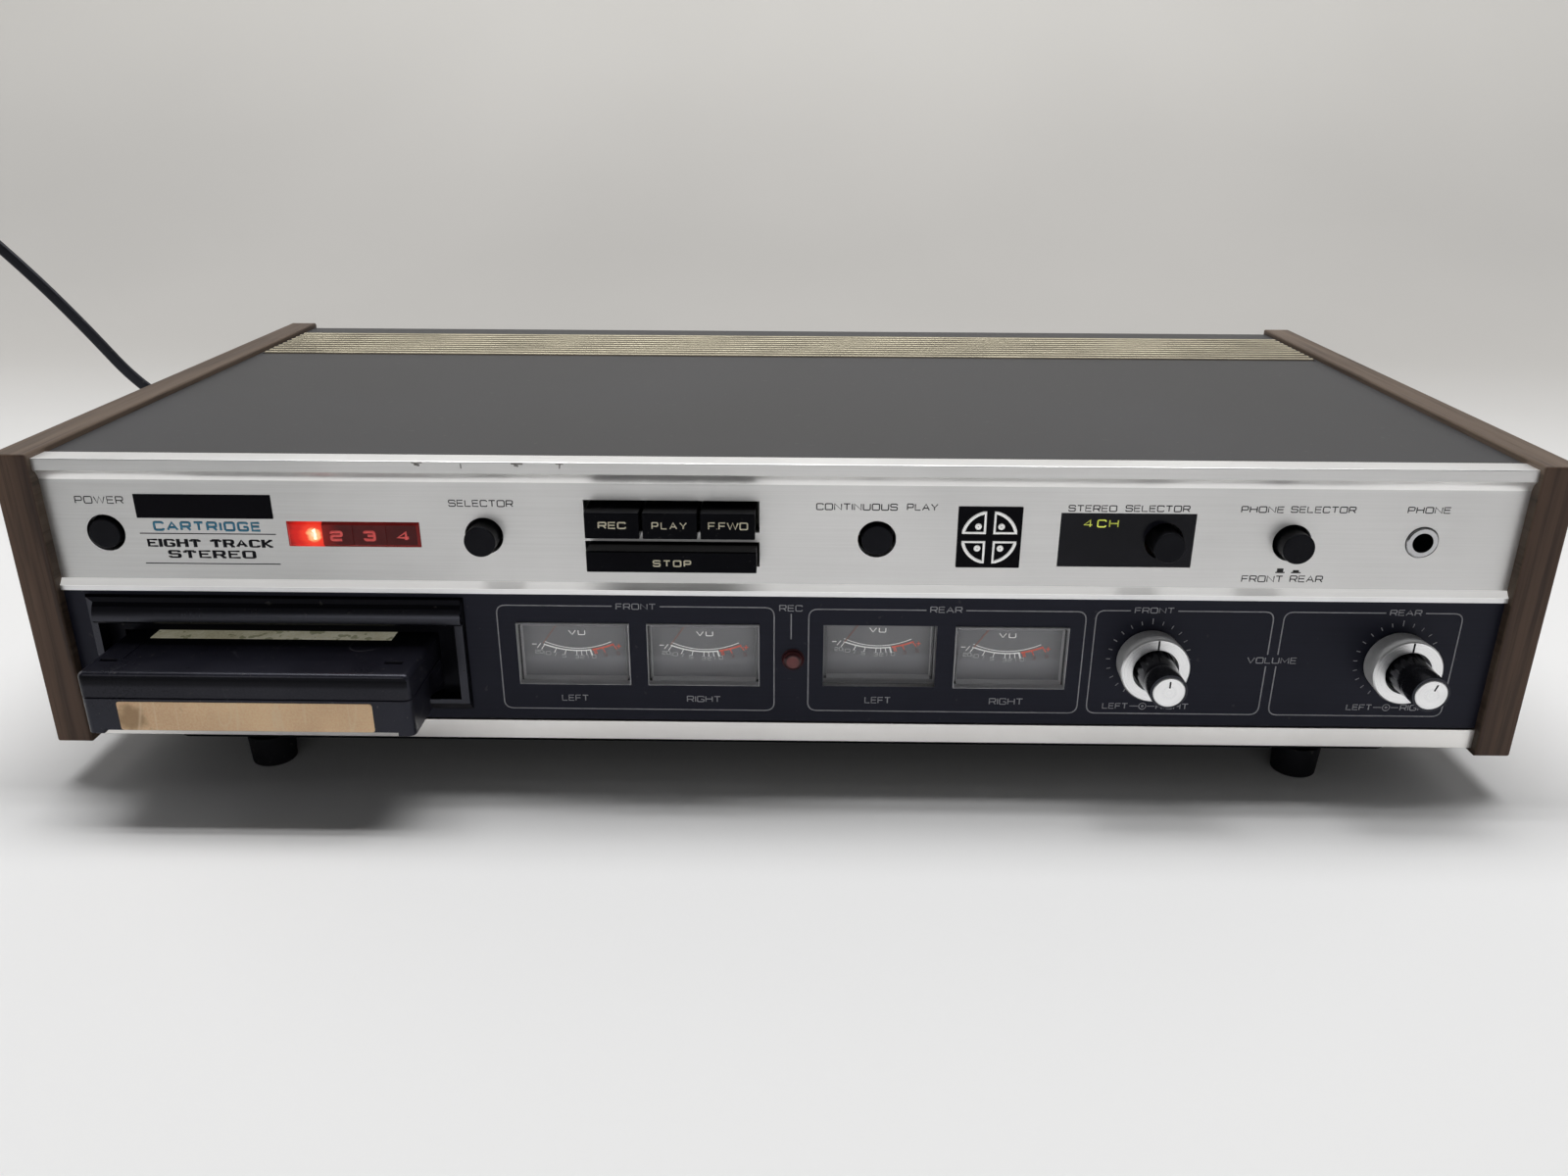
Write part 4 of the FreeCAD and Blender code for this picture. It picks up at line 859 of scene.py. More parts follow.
def joined(parts):
    pick(parts)
    if len(parts) > 1:
        bpy.ops.object.join()
    return bpy.context.view_layer.objects.active


def inked(parts, material):
    for part in parts:
        part.data.materials.clear()
        part.data.materials.append(material)
    return parts


def finishPiece(name, parts, material, body="cabinet"):
    # makes one piece of its parts, and lets it ride on its body
    piece = joined(inked(parts, material))
    piece.name = name
    piece.data.name = name
    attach(piece, body)


def onFace(thickness, face, widen):
    # turns a flat drawing in millimetres upright, facing the front, and puts it on a face
    size = Matrix.Diagonal((mm * widen, mm, mm * thickness, 1))
    return Matrix.Translation(place(0, face, 0)) @ Matrix.Rotation(math.radians(90), 4, "X") @ size


def drawLines(lines, width, face, proud=0.06, closed=False, widen=1.0):
    # lines of one width, each a list of points on a face that they stand proud of
    curve = bpy.data.curves.new("inkLine", "CURVE")
    curve.dimensions = "3D"
    for points in lines:
        spline = curve.splines.new("POLY")
        spline.points.add(len(points) - 1)
        for point, (x, z) in zip(spline.points, points):
            point.co = (x / widen, z, 0, 1)
        spline.use_cyclic_u = closed
    curve.bevel_depth = width / 2
    curve.bevel_resolution = 0
    curve.use_fill_caps = not closed
    drawing = bpy.data.objects.new("inkLine", curve)
    bpy.context.scene.collection.objects.link(drawing)
    pick([drawing])
    bpy.ops.object.convert(target="MESH")
    drawing = bpy.context.object
    drawing.data.transform(onFace(2 * proud / width, face, widen))
    return drawing


def roundOff(points, radius=3.0, turns=6):
    # a line with its inner corners rounded
    rounded = [points[0]]
    for before, corner, after in zip(points, points[1:], points[2:]):
        corner = Vector(corner)
        start = corner + (Vector(before) - corner).normalized() * radius
        end = corner + (Vector(after) - corner).normalized() * radius
        for i in range(turns + 1):
            t = i / turns
            rounded.append(tuple((1 - t) ** 2 * start + 2 * t * (1 - t) * corner + t * t * end))
    rounded.append(points[-1])
    return rounded


def arcPoints(x, z, radius, start, end, count):
    spots = []
    for i in range(count + 1):
        angle = math.radians(start + (end - start) * i / count)
        spots.append((x + radius * math.cos(angle), z + radius * math.sin(angle)))
    return spots


def circlePoints(x, z, radius, count):
    return arcPoints(x, z, radius, 0, 360, count)[:-1]


def ray(x, z, turn, radii):
    # a straight line outwards from a centre, turned clockwise from the top
    angle = math.radians(turn)
    return [(x + r * math.sin(angle), z + r * math.cos(angle)) for r in radii]


# wide letters of one line width: how wide each is for its height, then its strokes
letterStrokes = {
    "A": (1.2, [[(0, 0), (0.5, 1), (1, 0)], [(0.2, 0.34), (0.8, 0.34)]]),
    "C": (1.1, [[(1, 0.78), (1, 1), (0, 1), (0, 0), (1, 0), (1, 0.22)]]),
    "D": (1.15, [[(0, 0), (0, 1)], [(0, 1), (1, 1), (1, 0), (0, 0)]]),
    "E": (1.0, [[(1, 1), (0, 1), (0, 0), (1, 0)], [(0, 0.52), (0.92, 0.52)]]),
    "F": (1.0, [[(1, 1), (0, 1), (0, 0)], [(0, 0.5), (0.9, 0.5)]]),
    "G": (1.15, [[(1, 0.8), (1, 1), (0, 1), (0, 0), (1, 0), (1, 0.46), (0.55, 0.46)]]),
    "H": (1.15, [[(0, 0), (0, 1)], [(1, 0), (1, 1)], [(0, 0.52), (1, 0.52)]]),
    "I": (0.0, [[(0, 0), (0, 1)]]),
    "K": (1.05, [[(0, 0), (0, 1)], [(1, 1), (0.25, 0.5), (1, 0)], [(0, 0.5), (0.25, 0.5)]]),
    "L": (0.95, [[(0, 1), (0, 0), (1, 0)]]),
    "M": (1.35, [[(0, 0), (0, 1), (0.5, 0.2), (1, 1), (1, 0)]]),
    "N": (1.15, [[(0, 0), (0, 1), (1, 0), (1, 1)]]),
    "O": (1.2, [[(0.5, 0), (0, 0), (0, 1), (1, 1), (1, 0), (0.5, 0)]]),
    "P": (1.05, [[(0, 0), (0, 1)], [(0, 1), (1, 1), (1, 0.42), (0, 0.42)]]),
    "R": (1.1, [[(0, 0), (0, 1)], [(0, 1), (1, 1), (1, 0.44), (0, 0.44)], [(0.62, 0.44), (1, 0)]]),
    "S": (1.1, [[(1, 0.78), (1, 1), (0, 1), (0, 0.52), (1, 0.52), (1, 0), (0, 0), (0, 0.22)]]),
    "T": (1.1, [[(0, 1), (1, 1)], [(0.5, 1), (0.5, 0)]]),
    "U": (1.15, [[(0, 1), (0, 0), (1, 0), (1, 1)]]),
    "V": (1.2, [[(0, 1), (0.5, 0), (1, 1)]]),
    "W": (1.65, [[(0, 1), (0.25, 0), (0.5, 1), (0.75, 0), (1, 1)]]),
    "Y": (1.15, [[(0, 1), (0.5, 0.42), (1, 1)], [(0.5, 0.42), (0.5, 0)]]),
    "0": (1.0, [[(0.5, 0), (0, 0), (0, 1), (1, 1), (1, 0), (0.5, 0)]]),
    "1": (0.3, [[(0, 0.8), (1, 1), (1, 0)]]),
    "2": (1.0, [[(0, 0.78), (0, 1), (1, 1), (1, 0.52), (0, 0.52), (0, 0), (1, 0)]]),
    "3": (1.0, [[(0, 0.8), (0, 1), (1, 1), (1, 0), (0, 0), (0, 0.2)], [(0.3, 0.52), (1, 0.52)]]),
    "4": (1.1, [[(0.76, 0), (0.76, 1), (0, 0.28), (1, 0.28)]]),
    "5": (1.0, [[(1, 1), (0, 1), (0, 0.56), (1, 0.56), (1, 0), (0, 0), (0, 0.2)]]),
    "7": (0.95, [[(0, 1), (1, 1), (0.42, 0)]]),
    ".": (0.0, [[(0, 0), (0, 0.06)]]),
}
softLetters = "CDGOPRSU0235"
blank = (0.5, [])  # the space between words


def serifs(letter, points, line, half, tall):
    # short feet across the ends of upright strokes; the bar of a T gets a drop at each end
    feet = []
    level = points[0][1] == points[-1][1]
    for (endX, endZ), (x, z) in ((line[0], points[0]), (line[-1], points[-1])):
        if not level and z in (0, 1) and (letter, z) != ("T", 1):
            feet.append([(endX - half, endZ), (endX + half, endZ)])
        elif level and letter == "T":
            feet.append([(endX, endZ), (endX, endZ - 0.28 * tall)])
    return feet


def drawWord(words, box, face, stroke=0.36, widen=1.0, serif=0.0, gap=0.36):
    # a word drawn in strokes between left and right, low and high
    left, right, low, high = box
    tall = high - low - stroke
    spots, length = [], -gap
    for letter in words:
        wide, strokes = letterStrokes.get(letter, blank)
        spots.append((letter, length + gap, wide, strokes))
        length += gap + wide
    stretch = (right - left - stroke * widen) / length
    firstX, firstZ = left + stroke * widen / 2, low + stroke / 2
    lines, feet = [], []
    for letter, start, wide, strokes in spots:
        for points in strokes:
            line = [(firstX + (start + x * wide) * stretch, firstZ + z * tall) for x, z in points]
            if serif:
                feet += serifs(letter, points, line, serif, tall)
            lines.append(roundOff(line, 0.2 * tall, 3) if letter in softLetters else line)
    return drawLines(lines + feet, stroke, face, widen=widen)


upperWords = {
    "face": 4.0,
    "words": [
        ("POWER", (-219.3, -204.0, 82.0, 84.5)), ("SELECTOR", (-102.8, -82.6, 82.0, 84.3)),
        ("CONTINUOUS", (11.2, 36.4, 81.9, 84.2)), ("PLAY", (39.2, 48.9, 82.0, 84.3)),
        ("STEREO", (88.9, 103.9, 82.1, 84.3)), ("SELECTOR", (106.4, 126.3, 82.2, 84.4)),
        ("PHONE", (141.9, 155.1, 82.2, 84.4)), ("SELECTOR", (157.1, 177.1, 82.3, 84.5)),
        ("PHONE", (192.8, 206.0, 82.4, 84.6)),
        ("FRONT", (145.2, 158.2, 59.3, 61.6)), ("REAR", (160.3, 170.7, 59.4, 61.7)),
    ],
    # two little buttons tell which way is in and which is out: sides, ends of the base, top
    "buttons": (((155.9, 157.9), (155.5, 158.4), 64.0), ((160.9, 162.8), (160.4, 163.4), 63.5)),
    "buttonFoot": 62.6, "baseHeight": 62.65, "baseWidth": 0.4,
}
lowerWords = {
    "face": 3.5,
    "words": [
        ("FRONT", (-52.4, -39.5, 48.1, 50.3)), ("REAR", (48.0, 58.3, 48.0, 50.2)),
        ("REC", (-0.1, 7.4, 48.0, 50.3)), ("VOLUME", (150.9, 166.9, 31.3, 33.6)),
        ("LEFT", (-71.6, -62.7, 15.3, 17.6)), ("RIGHT", (-30.4, -19.2, 15.3, 17.6)),
        ("LEFT", (28.0, 36.6, 15.5, 17.9)), ("RIGHT", (68.8, 80.0, 15.5, 17.9)),
        ("FRONT", (112.9, 125.5, 48.5, 50.6)), ("REAR", (193.6, 203.7, 48.5, 50.6)),
        ("LEFT", (106.0, 114.4, 14.4, 16.6)), ("RIGHT", (123.5, 134.2, 14.4, 16.6)),
        ("LEFT", (185.6, 194.0, 14.8, 17.0)), ("RIGHT", (203.1, 213.8, 14.8, 17.0)),
    ],
    # the frames round what belongs together, open where a word stands
    "frames": [
        [(-53.6, 49.3), (-90.7, 49.3), (-90.7, 12.5), (-1.7, 12.5), (-1.7, 49.3), (-38.3, 49.3)],
        [(46.8, 48.9), (9.4, 48.9), (9.4, 12.7), (97.8, 12.7), (97.8, 48.9), (59.5, 48.9)],
        [(126.7, 49.4), (157.2, 49.4), (157.2, 34.5)],
        [(157.2, 30.4), (157.2, 12.8), (100.9, 12.8), (100.9, 49.4), (111.7, 49.4)],
        [(192.4, 49.4), (160.5, 49.4), (160.5, 34.5)],
        [(160.5, 30.4), (160.5, 12.8), (216.9, 12.8), (216.9, 49.4), (204.9, 49.4)],
        [(3.75, 47.2), (3.75, 38.3)],
    ],
    "frameWidth": 0.42, "thin": 0.3,
    # the ring, its dot and two dashes between LEFT and RIGHT
    "rings": ((119.15, 15.5), (198.6, 15.9)), "ring": 1.15, "dot": 0.3, "dashes": ((-4.2, -1.5), (1.5, 4.0)),
    # the marks round each volume knob, the middle one longer
    "scales": ((119.15, 32.5), (198.6, 32.6)), "inner": 12.3, "outer": 13.6, "middle": 14.3,
    "markTurn": 15, "markCount": 10,
}


def printUpperWords(look):
    face = look["face"]
    words = [drawWord(word, box, face) for word, box in look["words"]]
    for (left, right), baseEnds, top in look["buttons"]:
        base = [(x, look["baseHeight"]) for x in baseEnds]
        words.append(drawLines([base], look["baseWidth"], face))
        stem = [((left + right) / 2, z) for z in (look["buttonFoot"], top)]
        words.append(drawLines([stem], right - left, face))
    finishPiece("upper_lettering", words, inks["inkDarkGrey"])


def printLowerWords(look):
    face, thin = look["face"], look["thin"]
    words = [drawWord(word, box, face) for word, box in look["words"]]
    words.append(drawLines([roundOff(frame) for frame in look["frames"]], look["frameWidth"], face))
    rings, marks = [], []
    for x, z in look["rings"]:
        rings += [circlePoints(x, z, look["ring"], 24), circlePoints(x, z, look["dot"], 12)]
        marks += [[(x + start, z), (x + end, z)] for start, end in look["dashes"]]
    words.append(drawLines(rings, thin, face, closed=True))
    for x, z in look["scales"]:
        for i in range(-look["markCount"], look["markCount"] + 1):
            outer = look["outer"] if i else look["middle"]
            marks.append(ray(x, z, look["markTurn"] * i, (look["inner"], outer)))
    words.append(drawLines(marks, thin, face))
    finishPiece("lower_lettering", words, inks["inkPale"])


printUpperWords(upperWords)
printLowerWords(lowerWords)
print("panel lettering printed")


# plate with its words, and the badge

plateLook = {
    "face": 4.0,
    "plate": (-200.8, -158.0, 77.5, 85.3), "thick": 0.12, "corner": 0.15,
    "blue": ("CARTRIDGE", (-196.3, -162.3, 73.2, 76.5)), "blueStroke": 0.78, "blueGap": 0.55,
    "bold": (("EIGHT TRACK", (-199.3, -159.5, 67.9, 70.6)), ("STEREO", (-193.2, -165.3, 64.2, 66.9))),
    "boldStroke": 0.56, "boldWiden": 2.1, "serif": 0.6, "boldGap": 0.66,
    "rules": (72.4, 62.4), "ruleEnds": (-200.9, -158.0), "ruleWidth": 0.34,
}
badgeLook = {
    "face": 4.0,
    "square": (55.2, 75.1, 63.5, 83.5), "thick": 0.3, "corner": 0.2,
    "reach": 8.3, "apart": 1.5, "lineWidth": 1.05, "proud": 0.1,
    "dot": 0.6, "dotOut": 2.1, "dotWidth": 0.945,
}
plateBlack = finish("plateBlack", dict(panLook, tones=((13, 12, 15), (18, 17, 20)), specular=0.06, dust=0.0))
sunk = 0.04  # how far a plate reaches into the face behind it


def block(middle, size):
    bpy.ops.object.select_all(action="DESELECT")
    bpy.ops.mesh.primitive_cube_add(size=1, location=middle)
    piece = bpy.context.object
    piece.scale = [side * mm for side in size]
    bpy.ops.object.transform_apply(location=True, rotation=True, scale=True)
    return piece


def chooseEdges(piece, chosen):
    # selects the edges that the test picks out, ready for an edit
    bpy.ops.object.mode_set(mode="EDIT")
    bpy.ops.mesh.select_mode(type="EDGE")
    bpy.ops.mesh.select_all(action="DESELECT")
    bpy.ops.object.mode_set(mode="OBJECT")
    for edge in piece.data.edges:
        edge.select = chosen(*(piece.data.vertices[i].co for i in edge.vertices))
    bpy.ops.object.mode_set(mode="EDIT")


def roundEdges(piece, radius, segments, chosen):
    chooseEdges(piece, chosen)
    bpy.ops.mesh.bevel(offset=radius, segments=segments)
    bpy.ops.object.mode_set(mode="OBJECT")


def flatPlate(box, face, thick, corner):
    # a thin plate between left and right, low and high, standing proud of a face
    left, right, low, high = box
    middle = place((left + right) / 2, face - thick / 2 + sunk / 2, (low + high) / 2)
    plate = block(middle, (right - left, thick + sunk, high - low))
    roundEdges(plate, corner * mm, 3, lambda a, b: abs(a.y - b.y) > 0.5 * thick * mm)
    return plate


def printPlate(look):
    face = look["face"]
    plate = flatPlate(look["plate"], face, look["thick"], look["corner"])
    finishPiece("name_plate", [plate], plateBlack)
    word, box = look["blue"]
    blue = drawWord(word, box, face, look["blueStroke"], gap=look["blueGap"])
    finishPiece("plate_blue_word", [blue], inks["inkBlue"])
    bold = [
        drawWord(word, box, face, look["boldStroke"], look["boldWiden"], look["serif"], look["boldGap"])
        for word, box in look["bold"]
    ]
    rules = [[(x, z) for x in look["ruleEnds"]] for z in look["rules"]]
    bold.append(drawLines(rules, look["ruleWidth"], face))
    finishPiece("plate_bold_words", bold, inks["inkBlack"])


def makeBadge(look):
    # four quarter discs in outline round the middle, a plain sign for four channels
    square = flatPlate(look["square"], look["face"], look["thick"], look["corner"])
    finishPiece("badge_square", [square], plateBlack)
    left, right, low, high = look["square"]
    x, z = (left + right) / 2, (low + high) / 2
    # from the middle to the corner of each quarter, and on to its dot
    inner = look["apart"] * math.sqrt(2)
    edge = math.degrees(math.asin(look["apart"] / look["reach"]))
    outlines, dots = [], []
    for turn in (0, 90, 180, 270):
        corner, dot = ray(x, z, 45 - turn, (inner, (look["dotOut"] + inner) * 1.2))
        bend = arcPoints(x, z, look["reach"], turn + edge, turn + 90 - edge, 14)
        outlines.append([corner] + bend)
        dots.append(circlePoints(*dot, look["dot"], 12))
    face = look["face"] - look["thick"]
    parts = [
        drawLines(lines, width, face, look["proud"], closed=True)
        for lines, width in ((outlines, look["lineWidth"]), (dots, look["dotWidth"]))
    ]
    finishPiece("badge_quarters", parts, inks["inkWhite"])


# small knocks along the edge of the lip: from where to where, and how wide
knockLook = {
    "face": 2.0, "proud": 0.03, "finish": dict(caseLook, tones=((120, 117, 112), (150, 147, 142))),
    "marks": (
        ((-112.2, 96.6), (-108.9, 96.7), 0.5), ((-111.4, 96.1), (-109.8, 95.8), 0.7),
        ((-97.2, 96.4), (-97.15, 94.9), 0.35), ((-81.8, 96.6), (-78.2, 96.5), 0.6),
        ((-80.9, 96.0), (-79.6, 95.8), 0.6), ((-68.2, 96.5), (-65.9, 96.5), 0.35),
        ((-66.9, 96.4), (-67.1, 95.1), 0.4),
    ),
}


def makeKnocks(look):
    marks = [
        drawLines([[start, end]], width, look["face"], look["proud"])
        for start, end, width in look["marks"]
    ]
    finishPiece("lip_knocks", marks, finish("knockedMetal", look["finish"]))


printPlate(plateLook)
makeBadge(badgeLook)
makeKnocks(knockLook)
print("plate and badge on")


# words on the keys

# each word with its box, its stroke and the gap between its letters
keyLooks = {
    "rec_key": ("REC", (-55.4, -46.7, 77.9, 80.3), 0.52, 0.4),
    "play_key": ("PLAY", (-39.0, -28.1, 77.9, 80.3), 0.42, 0.62),
    "fast_forward_key": ("F.FWD", (-21.8, -9.5, 77.9, 80.4), 0.46, 0.32),
    "stop_key": ("STOP", (-39.0, -27.1, 65.7, 68.0), 0.5, 0.62),
}
keyFace = -4.0
for key, (word, box, stroke, gap) in keyLooks.items():
    finishPiece(key + "_word", [drawWord(word, box, keyFace, stroke, gap=gap)], inks["inkCream"], key)


# programme digits, the four-channel sign and the lamp's rim

digitLook = {
    "face": 3.3, "stroke": 1.0, "lit": "1", "tones": ((255, 226, 180), (255, 244, 214)), "strength": 1.2,
    "digits": {
        "1": (-146.6, -144.9, 70.6, 74.8), "2": (-140.8, -136.6, 70.5, 74.1),
        "3": (-130.3, -126.3, 70.6, 74.2), "4": (-120.0, -115.5, 70.7, 74.2),
    },
}
# each letter of the sign with its box and how bright it is
signLook = {
    "face": 4.4, "stroke": 0.42, "tones": ((158, 166, 62), (186, 192, 84)),
    "letters": {
        "4": ((94.1, 97.0, 76.9, 79.5), 0.8), "C": ((98.3, 101.2, 76.9, 79.5), 1.1),
        "H": ((102.0, 105.0, 76.9, 79.5), 0.5),
    },
}
rimLook = {
    "centre": (4.4, 31.2), "radius": 3.5, "width": 0.45, "face": 3.5, "proud": 0.4,
    "finish": dict(caseLook, tones=((62, 30, 33), (80, 38, 40)), roughness=(0.2, 0.3)),
}


def lightDigits(look):
    lit = glow("digitLit", look["tones"], look["strength"])
    for digit, box in look["digits"].items():
        material = lit if digit == look["lit"] else inks["inkDimRed"]
        finishPiece("program_digit_" + digit, [drawWord(digit, box, look["face"], look["stroke"])], material)


def lightSign(look):
    for letter, (box, strength) in look["letters"].items():
        lit = glow("signLit" + letter, look["tones"], strength)
        finishPiece("stereo_sign_" + letter, [drawWord(letter, box, look["face"], look["stroke"])], lit)


def makeRim(look):
    circle = circlePoints(*look["centre"], look["radius"], 45)
    rim = drawLines([circle], look["width"], look["face"], look["proud"], closed=True)
    finishPiece("rec_lamp_rim", [rim], finish("recordingLampRim", look["finish"]))


lightDigits(digitLook)
lightSign(signLook)
makeRim(rimLook)
print("keys and windows lettered")


# scales of the four level meters

scaleLook = {
    "face": 10.5,
    # the two arcs sag through three points each; the lower one turns red
    "arcTop": ((-11.1, 33.65), (0.0, 31.15), (11.1, 33.65)), "arcTopWidth": 0.26,
    "arcLow": ((-12.2, 32.95), (0.0, 30.35), (11.9, 32.75)), "arcLowWidth": 0.46,
    "lowFrom": -11.3, "redFrom": 4.3, "redGap": 0.4, "redWidth": 0.62,
    "ticks": (-12.15, -10.9, -7.1, -4.0, -0.44, 1.07, 2.6), "tickLength": 1.7, "tickWidth": 0.26,
    "zeroTick": 4.1, "zeroLength": 2.0, "zeroWidth": 0.55,
    "redTicks": (5.2, 5.7, 8.1, 11.6), "redTickWidth": 0.34, "slope": 7 / 110,
    "sign": ("VU", (-2.9, 2.7, 35.95, 37.75)),
    "minus": [[(-15.1, 32.55), (-13.6, 32.55)]],
    "plus": [[(12.7, 32.05), (14.3, 32.05)], [(13.5, 31.25), (13.5, 32.85)]],
    "signWidth": 0.3, "signGap": 0.5,
    "numbers": (
        ("20", -12.9, 29.25), ("10", -10.4, 28.75), ("7", -7.7, 28.35), ("5", -4.7, 27.85),
        ("3", -0.5, 27.45), ("2", 1.3, 27.45), ("1", 3.0, 27.55), ("0", 5.2, 27.65),
    ),
    "redNumbers": (("3", 9.0, 28.25), ("5", 13.2, 28.95)),
    # half a digit's width, half a 1, and how far each digit goes below and above its place
    "digit": (0.68, 0.3, -0.1, 1.25), "redDigit": (0.6, 0.3, -0.1, 1.2), "digitStroke": 0.17,
}
# across, and how much deeper and higher than the first the card of each meter sits
meterPlaces = {
    "front_left": (-66.65, 0, 0), "front_right": (-24.6, 0, 0),
    "rear_left": (32.4, 3.2, 0.5), "rear_right": (74.7, 0, 0.4),
}


def bowAt(points, x):
    # height of the sagging line through three points
    (x0, z0), (x1, z1), (x2, z2) = points
    a = ((z2 - z1) / (x2 - x1) - (z1 - z0) / (x1 - x0)) / (x2 - x0)
    b = (z1 - z0) / (x1 - x0) - a * (x0 + x1)
    return a * x * x + b * x + (z0 - a * x0 * x0 - b * x0)


def bowLine(points, start, end, count=20):
    return [(x, bowAt(points, x)) for x in (start + (end - start) * i / count for i in range(count + 1))]


def drawTicks(look, places, length, width):
    lines = []
    for x in places:
        z = bowAt(look["arcLow"], x)
        lines.append([(x, z), (x + x * look["slope"] * length, z - length)])
    return drawLines(lines, width, look["face"])


def drawNumbers(look, numbers, digit):
    half, narrow, low, high = digit
    drawn = []
    for digits, x, z in numbers:
        side = narrow if digits == "1" else half * len(digits)
        box = (x - side, x + side, z + low, z + high)
        drawn.append(drawWord(digits, box, look["face"], look["digitStroke"]))
    return drawn


def drawScale(look):
    face, top, low = look["face"], look["arcTop"], look["arcLow"]
    word, box = look["sign"]
    white = [
        drawLines([bowLine(top, top[0][0], top[2][0])], look["arcTopWidth"], face),
        drawLines([bowLine(low, look["lowFrom"], look["redFrom"])], look["arcLowWidth"], face),
        drawTicks(look, look["ticks"], look["tickLength"], look["tickWidth"]),
        drawTicks(look, [look["zeroTick"]], look["zeroLength"], look["zeroWidth"]),
        drawWord(word, box, face, look["signWidth"], gap=look["signGap"]),
        drawLines(look["minus"], look["signWidth"], face),
    ]
    faint = drawNumbers(look, look["numbers"], look["digit"])
    red = [
        drawLines([bowLine(low, look["redFrom"] + look["redGap"], low[2][0])], look["redWidth"], face),
        drawTicks(look, look["redTicks"], look["tickLength"], look["redTickWidth"]),
        drawLines(look["plus"], look["signWidth"], face),
    ]
    faintRed = drawNumbers(look, look["redNumbers"], look["redDigit"])
    coloured = (white, "inkWhite"), (faint, "inkFaint"), (red, "inkRed"), (faintRed, "inkFaintRed")
    return [part for parts, ink in coloured for part in inked(parts, inks[ink])]


def printScales(look, places):
    first = joined(drawScale(look))
    pieces = [first]
    while len(pieces) < len(places):
        pieces.append(bpy.data.objects.new("scale", first.data.copy()))
        bpy.context.scene.collection.objects.link(pieces[-1])
    for piece, (name, (x, deeper, higher)) in zip(pieces, places.items()):
        piece.data.transform(Matrix.Translation((x * mm, deeper * mm, higher * mm)))
        piece.name = "vu_scale_" + name
        piece.data.name = piece.name
        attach(piece, "cabinet")


printScales(scaleLook, meterPlaces)
print("meter scales printed")


# marks on the knobs and rings

markProud = 0.05
# how far each mark is turned, from where to where it runs, its width and its face
markLook = {
    "knob": {"turns": {"front": 0.0, "rear": 20.0}, "radii": (1.5, 3.7), "width": 0.55, "face": -20.6},
    "ring": {"turns": {"front": 0.0, "rear": 0.0}, "radii": (7.3, 10.45), "width": 0.62, "face": -5.5},
}


def markKnobs(look):
    for side, (x, z) in knobPlaces.items():
        for part, mark in look.items():
            line = ray(x, z, mark["turns"][side], mark["radii"])
            drawing = drawLines([line], mark["width"], mark["face"], markProud)
            finishPiece(f"volume_{part}_mark_{side}", [drawing], inks["inkBlack"], f"volume_{part}_{side}")


markKnobs(markLook)
print("knobs marked")


# labels on the cartridge

labelLook = {
    "front": (-202.4, -123.9, 18.2, 27.9), "frontFace": -24.6, "frontCorner": 0.8,
    "top": (-203.5, -125.2, 2.2, 9.6), "topFace": 37.15, "topCorner": 0.03,
    "thick": 0.12,
}
tanLook = {
    "tones": ((222, 186, 147), (240, 206, 164)), "cloudScale": 30.0,
    "grainScale": 1500.0, "grainTone": 0.12, "dust": 0.25, "dustEdge": 0.66, "dustScale": 220.0,
    "dustColour": paint(122, 94, 66), "roughness": (0.5, 0.66), "relief": 0.2, "specular": 0.3,
}
# painted light: the top label glows a little, though it lies in the shade under the slot's hood
agedLook = {
    "tones": ((196, 190, 160), (232, 228, 204)), "cloudScale": 60.0,
    "grainScale": 1400.0, "grainTone": 0.16, "dust": 0.6, "dustEdge": 0.58, "dustScale": 260.0,
    "dustColour": paint(120, 124, 84), "roughness": (0.5, 0.66), "relief": 0.2, "specular": 0.3, "paintedGlow": 0.2,
}
stainLook = {
    "spot": (-198.6, 0.0, 22.0), "reach": 7.0, "colour": paint(150, 120, 84), "crease": paint(236, 212, 178),
}


def stainLabel(material, look):
    # an old damp patch at one end, and creases across the paper
    tree = material.node_tree
    tone = tree.nodes["Principled BSDF"].inputs["Base Color"]
    away = reckon(tree, "DIVIDE", apart(tree, place(*look["spot"])), look["reach"] * mm)
    uneven = wander(tree, away, cloud(tree, spotsOn(tree), 260.0, 4.0), 0.8)
    patch = steps(tree, uneven, [(0.35, 0.75), (0.9, 0.0)])
    stained = blendColours(tree, patch, tone.links[0].from_socket, look["colour"])
    folds = cloud(tree, spotsOn(tree, (1.0, 1.0, 0.12)), 90.0, 2.0, 0.4, 0.4)
    thin = steps(tree, folds, [(0.49, 0.0), (0.5, 0.5), (0.51, 0.0)], False)
    plug(tone, blendColours(tree, thin, stained, look["crease"]))
    return material


def stickLabels(look):
    thick = look["thick"]
    front = flatPlate(look["front"], look["frontFace"], thick, look["frontCorner"])
    stained = stainLabel(finish("labelTan", tanLook), stainLook)
    finishPiece("cartridge_front_label", [front], stained, "cartridge")
    left, right, near, far = look["top"]
    middle = place((left + right) / 2, (near + far) / 2, look["topFace"] + thick / 2 - sunk / 2)
    top = block(middle, (right - left, far - near, thick))
    roundEdges(top, look["topCorner"] * mm, 2, lambda a, b: True)
    finishPiece("cartridge_top_label", [top], finish("labelAged", agedLook), "cartridge")


stickLabels(labelLook)
print("cartridge labelled")


# floor and light

# the sweep's tones: painted shade darkens it from the pale front towards the back, and painted light makes it
# a little lighter up the wall
floorLook = {
    "near": paint(233, 233, 233), "far": paint(175, 173, 170), "high": paint(196, 194, 190),
    "width": 8.0, "front": -3.0, "back": 1.5, "height": 3.5, "bend": 0.9,
    "roughness": 0.8, "specular": 0.15,
}
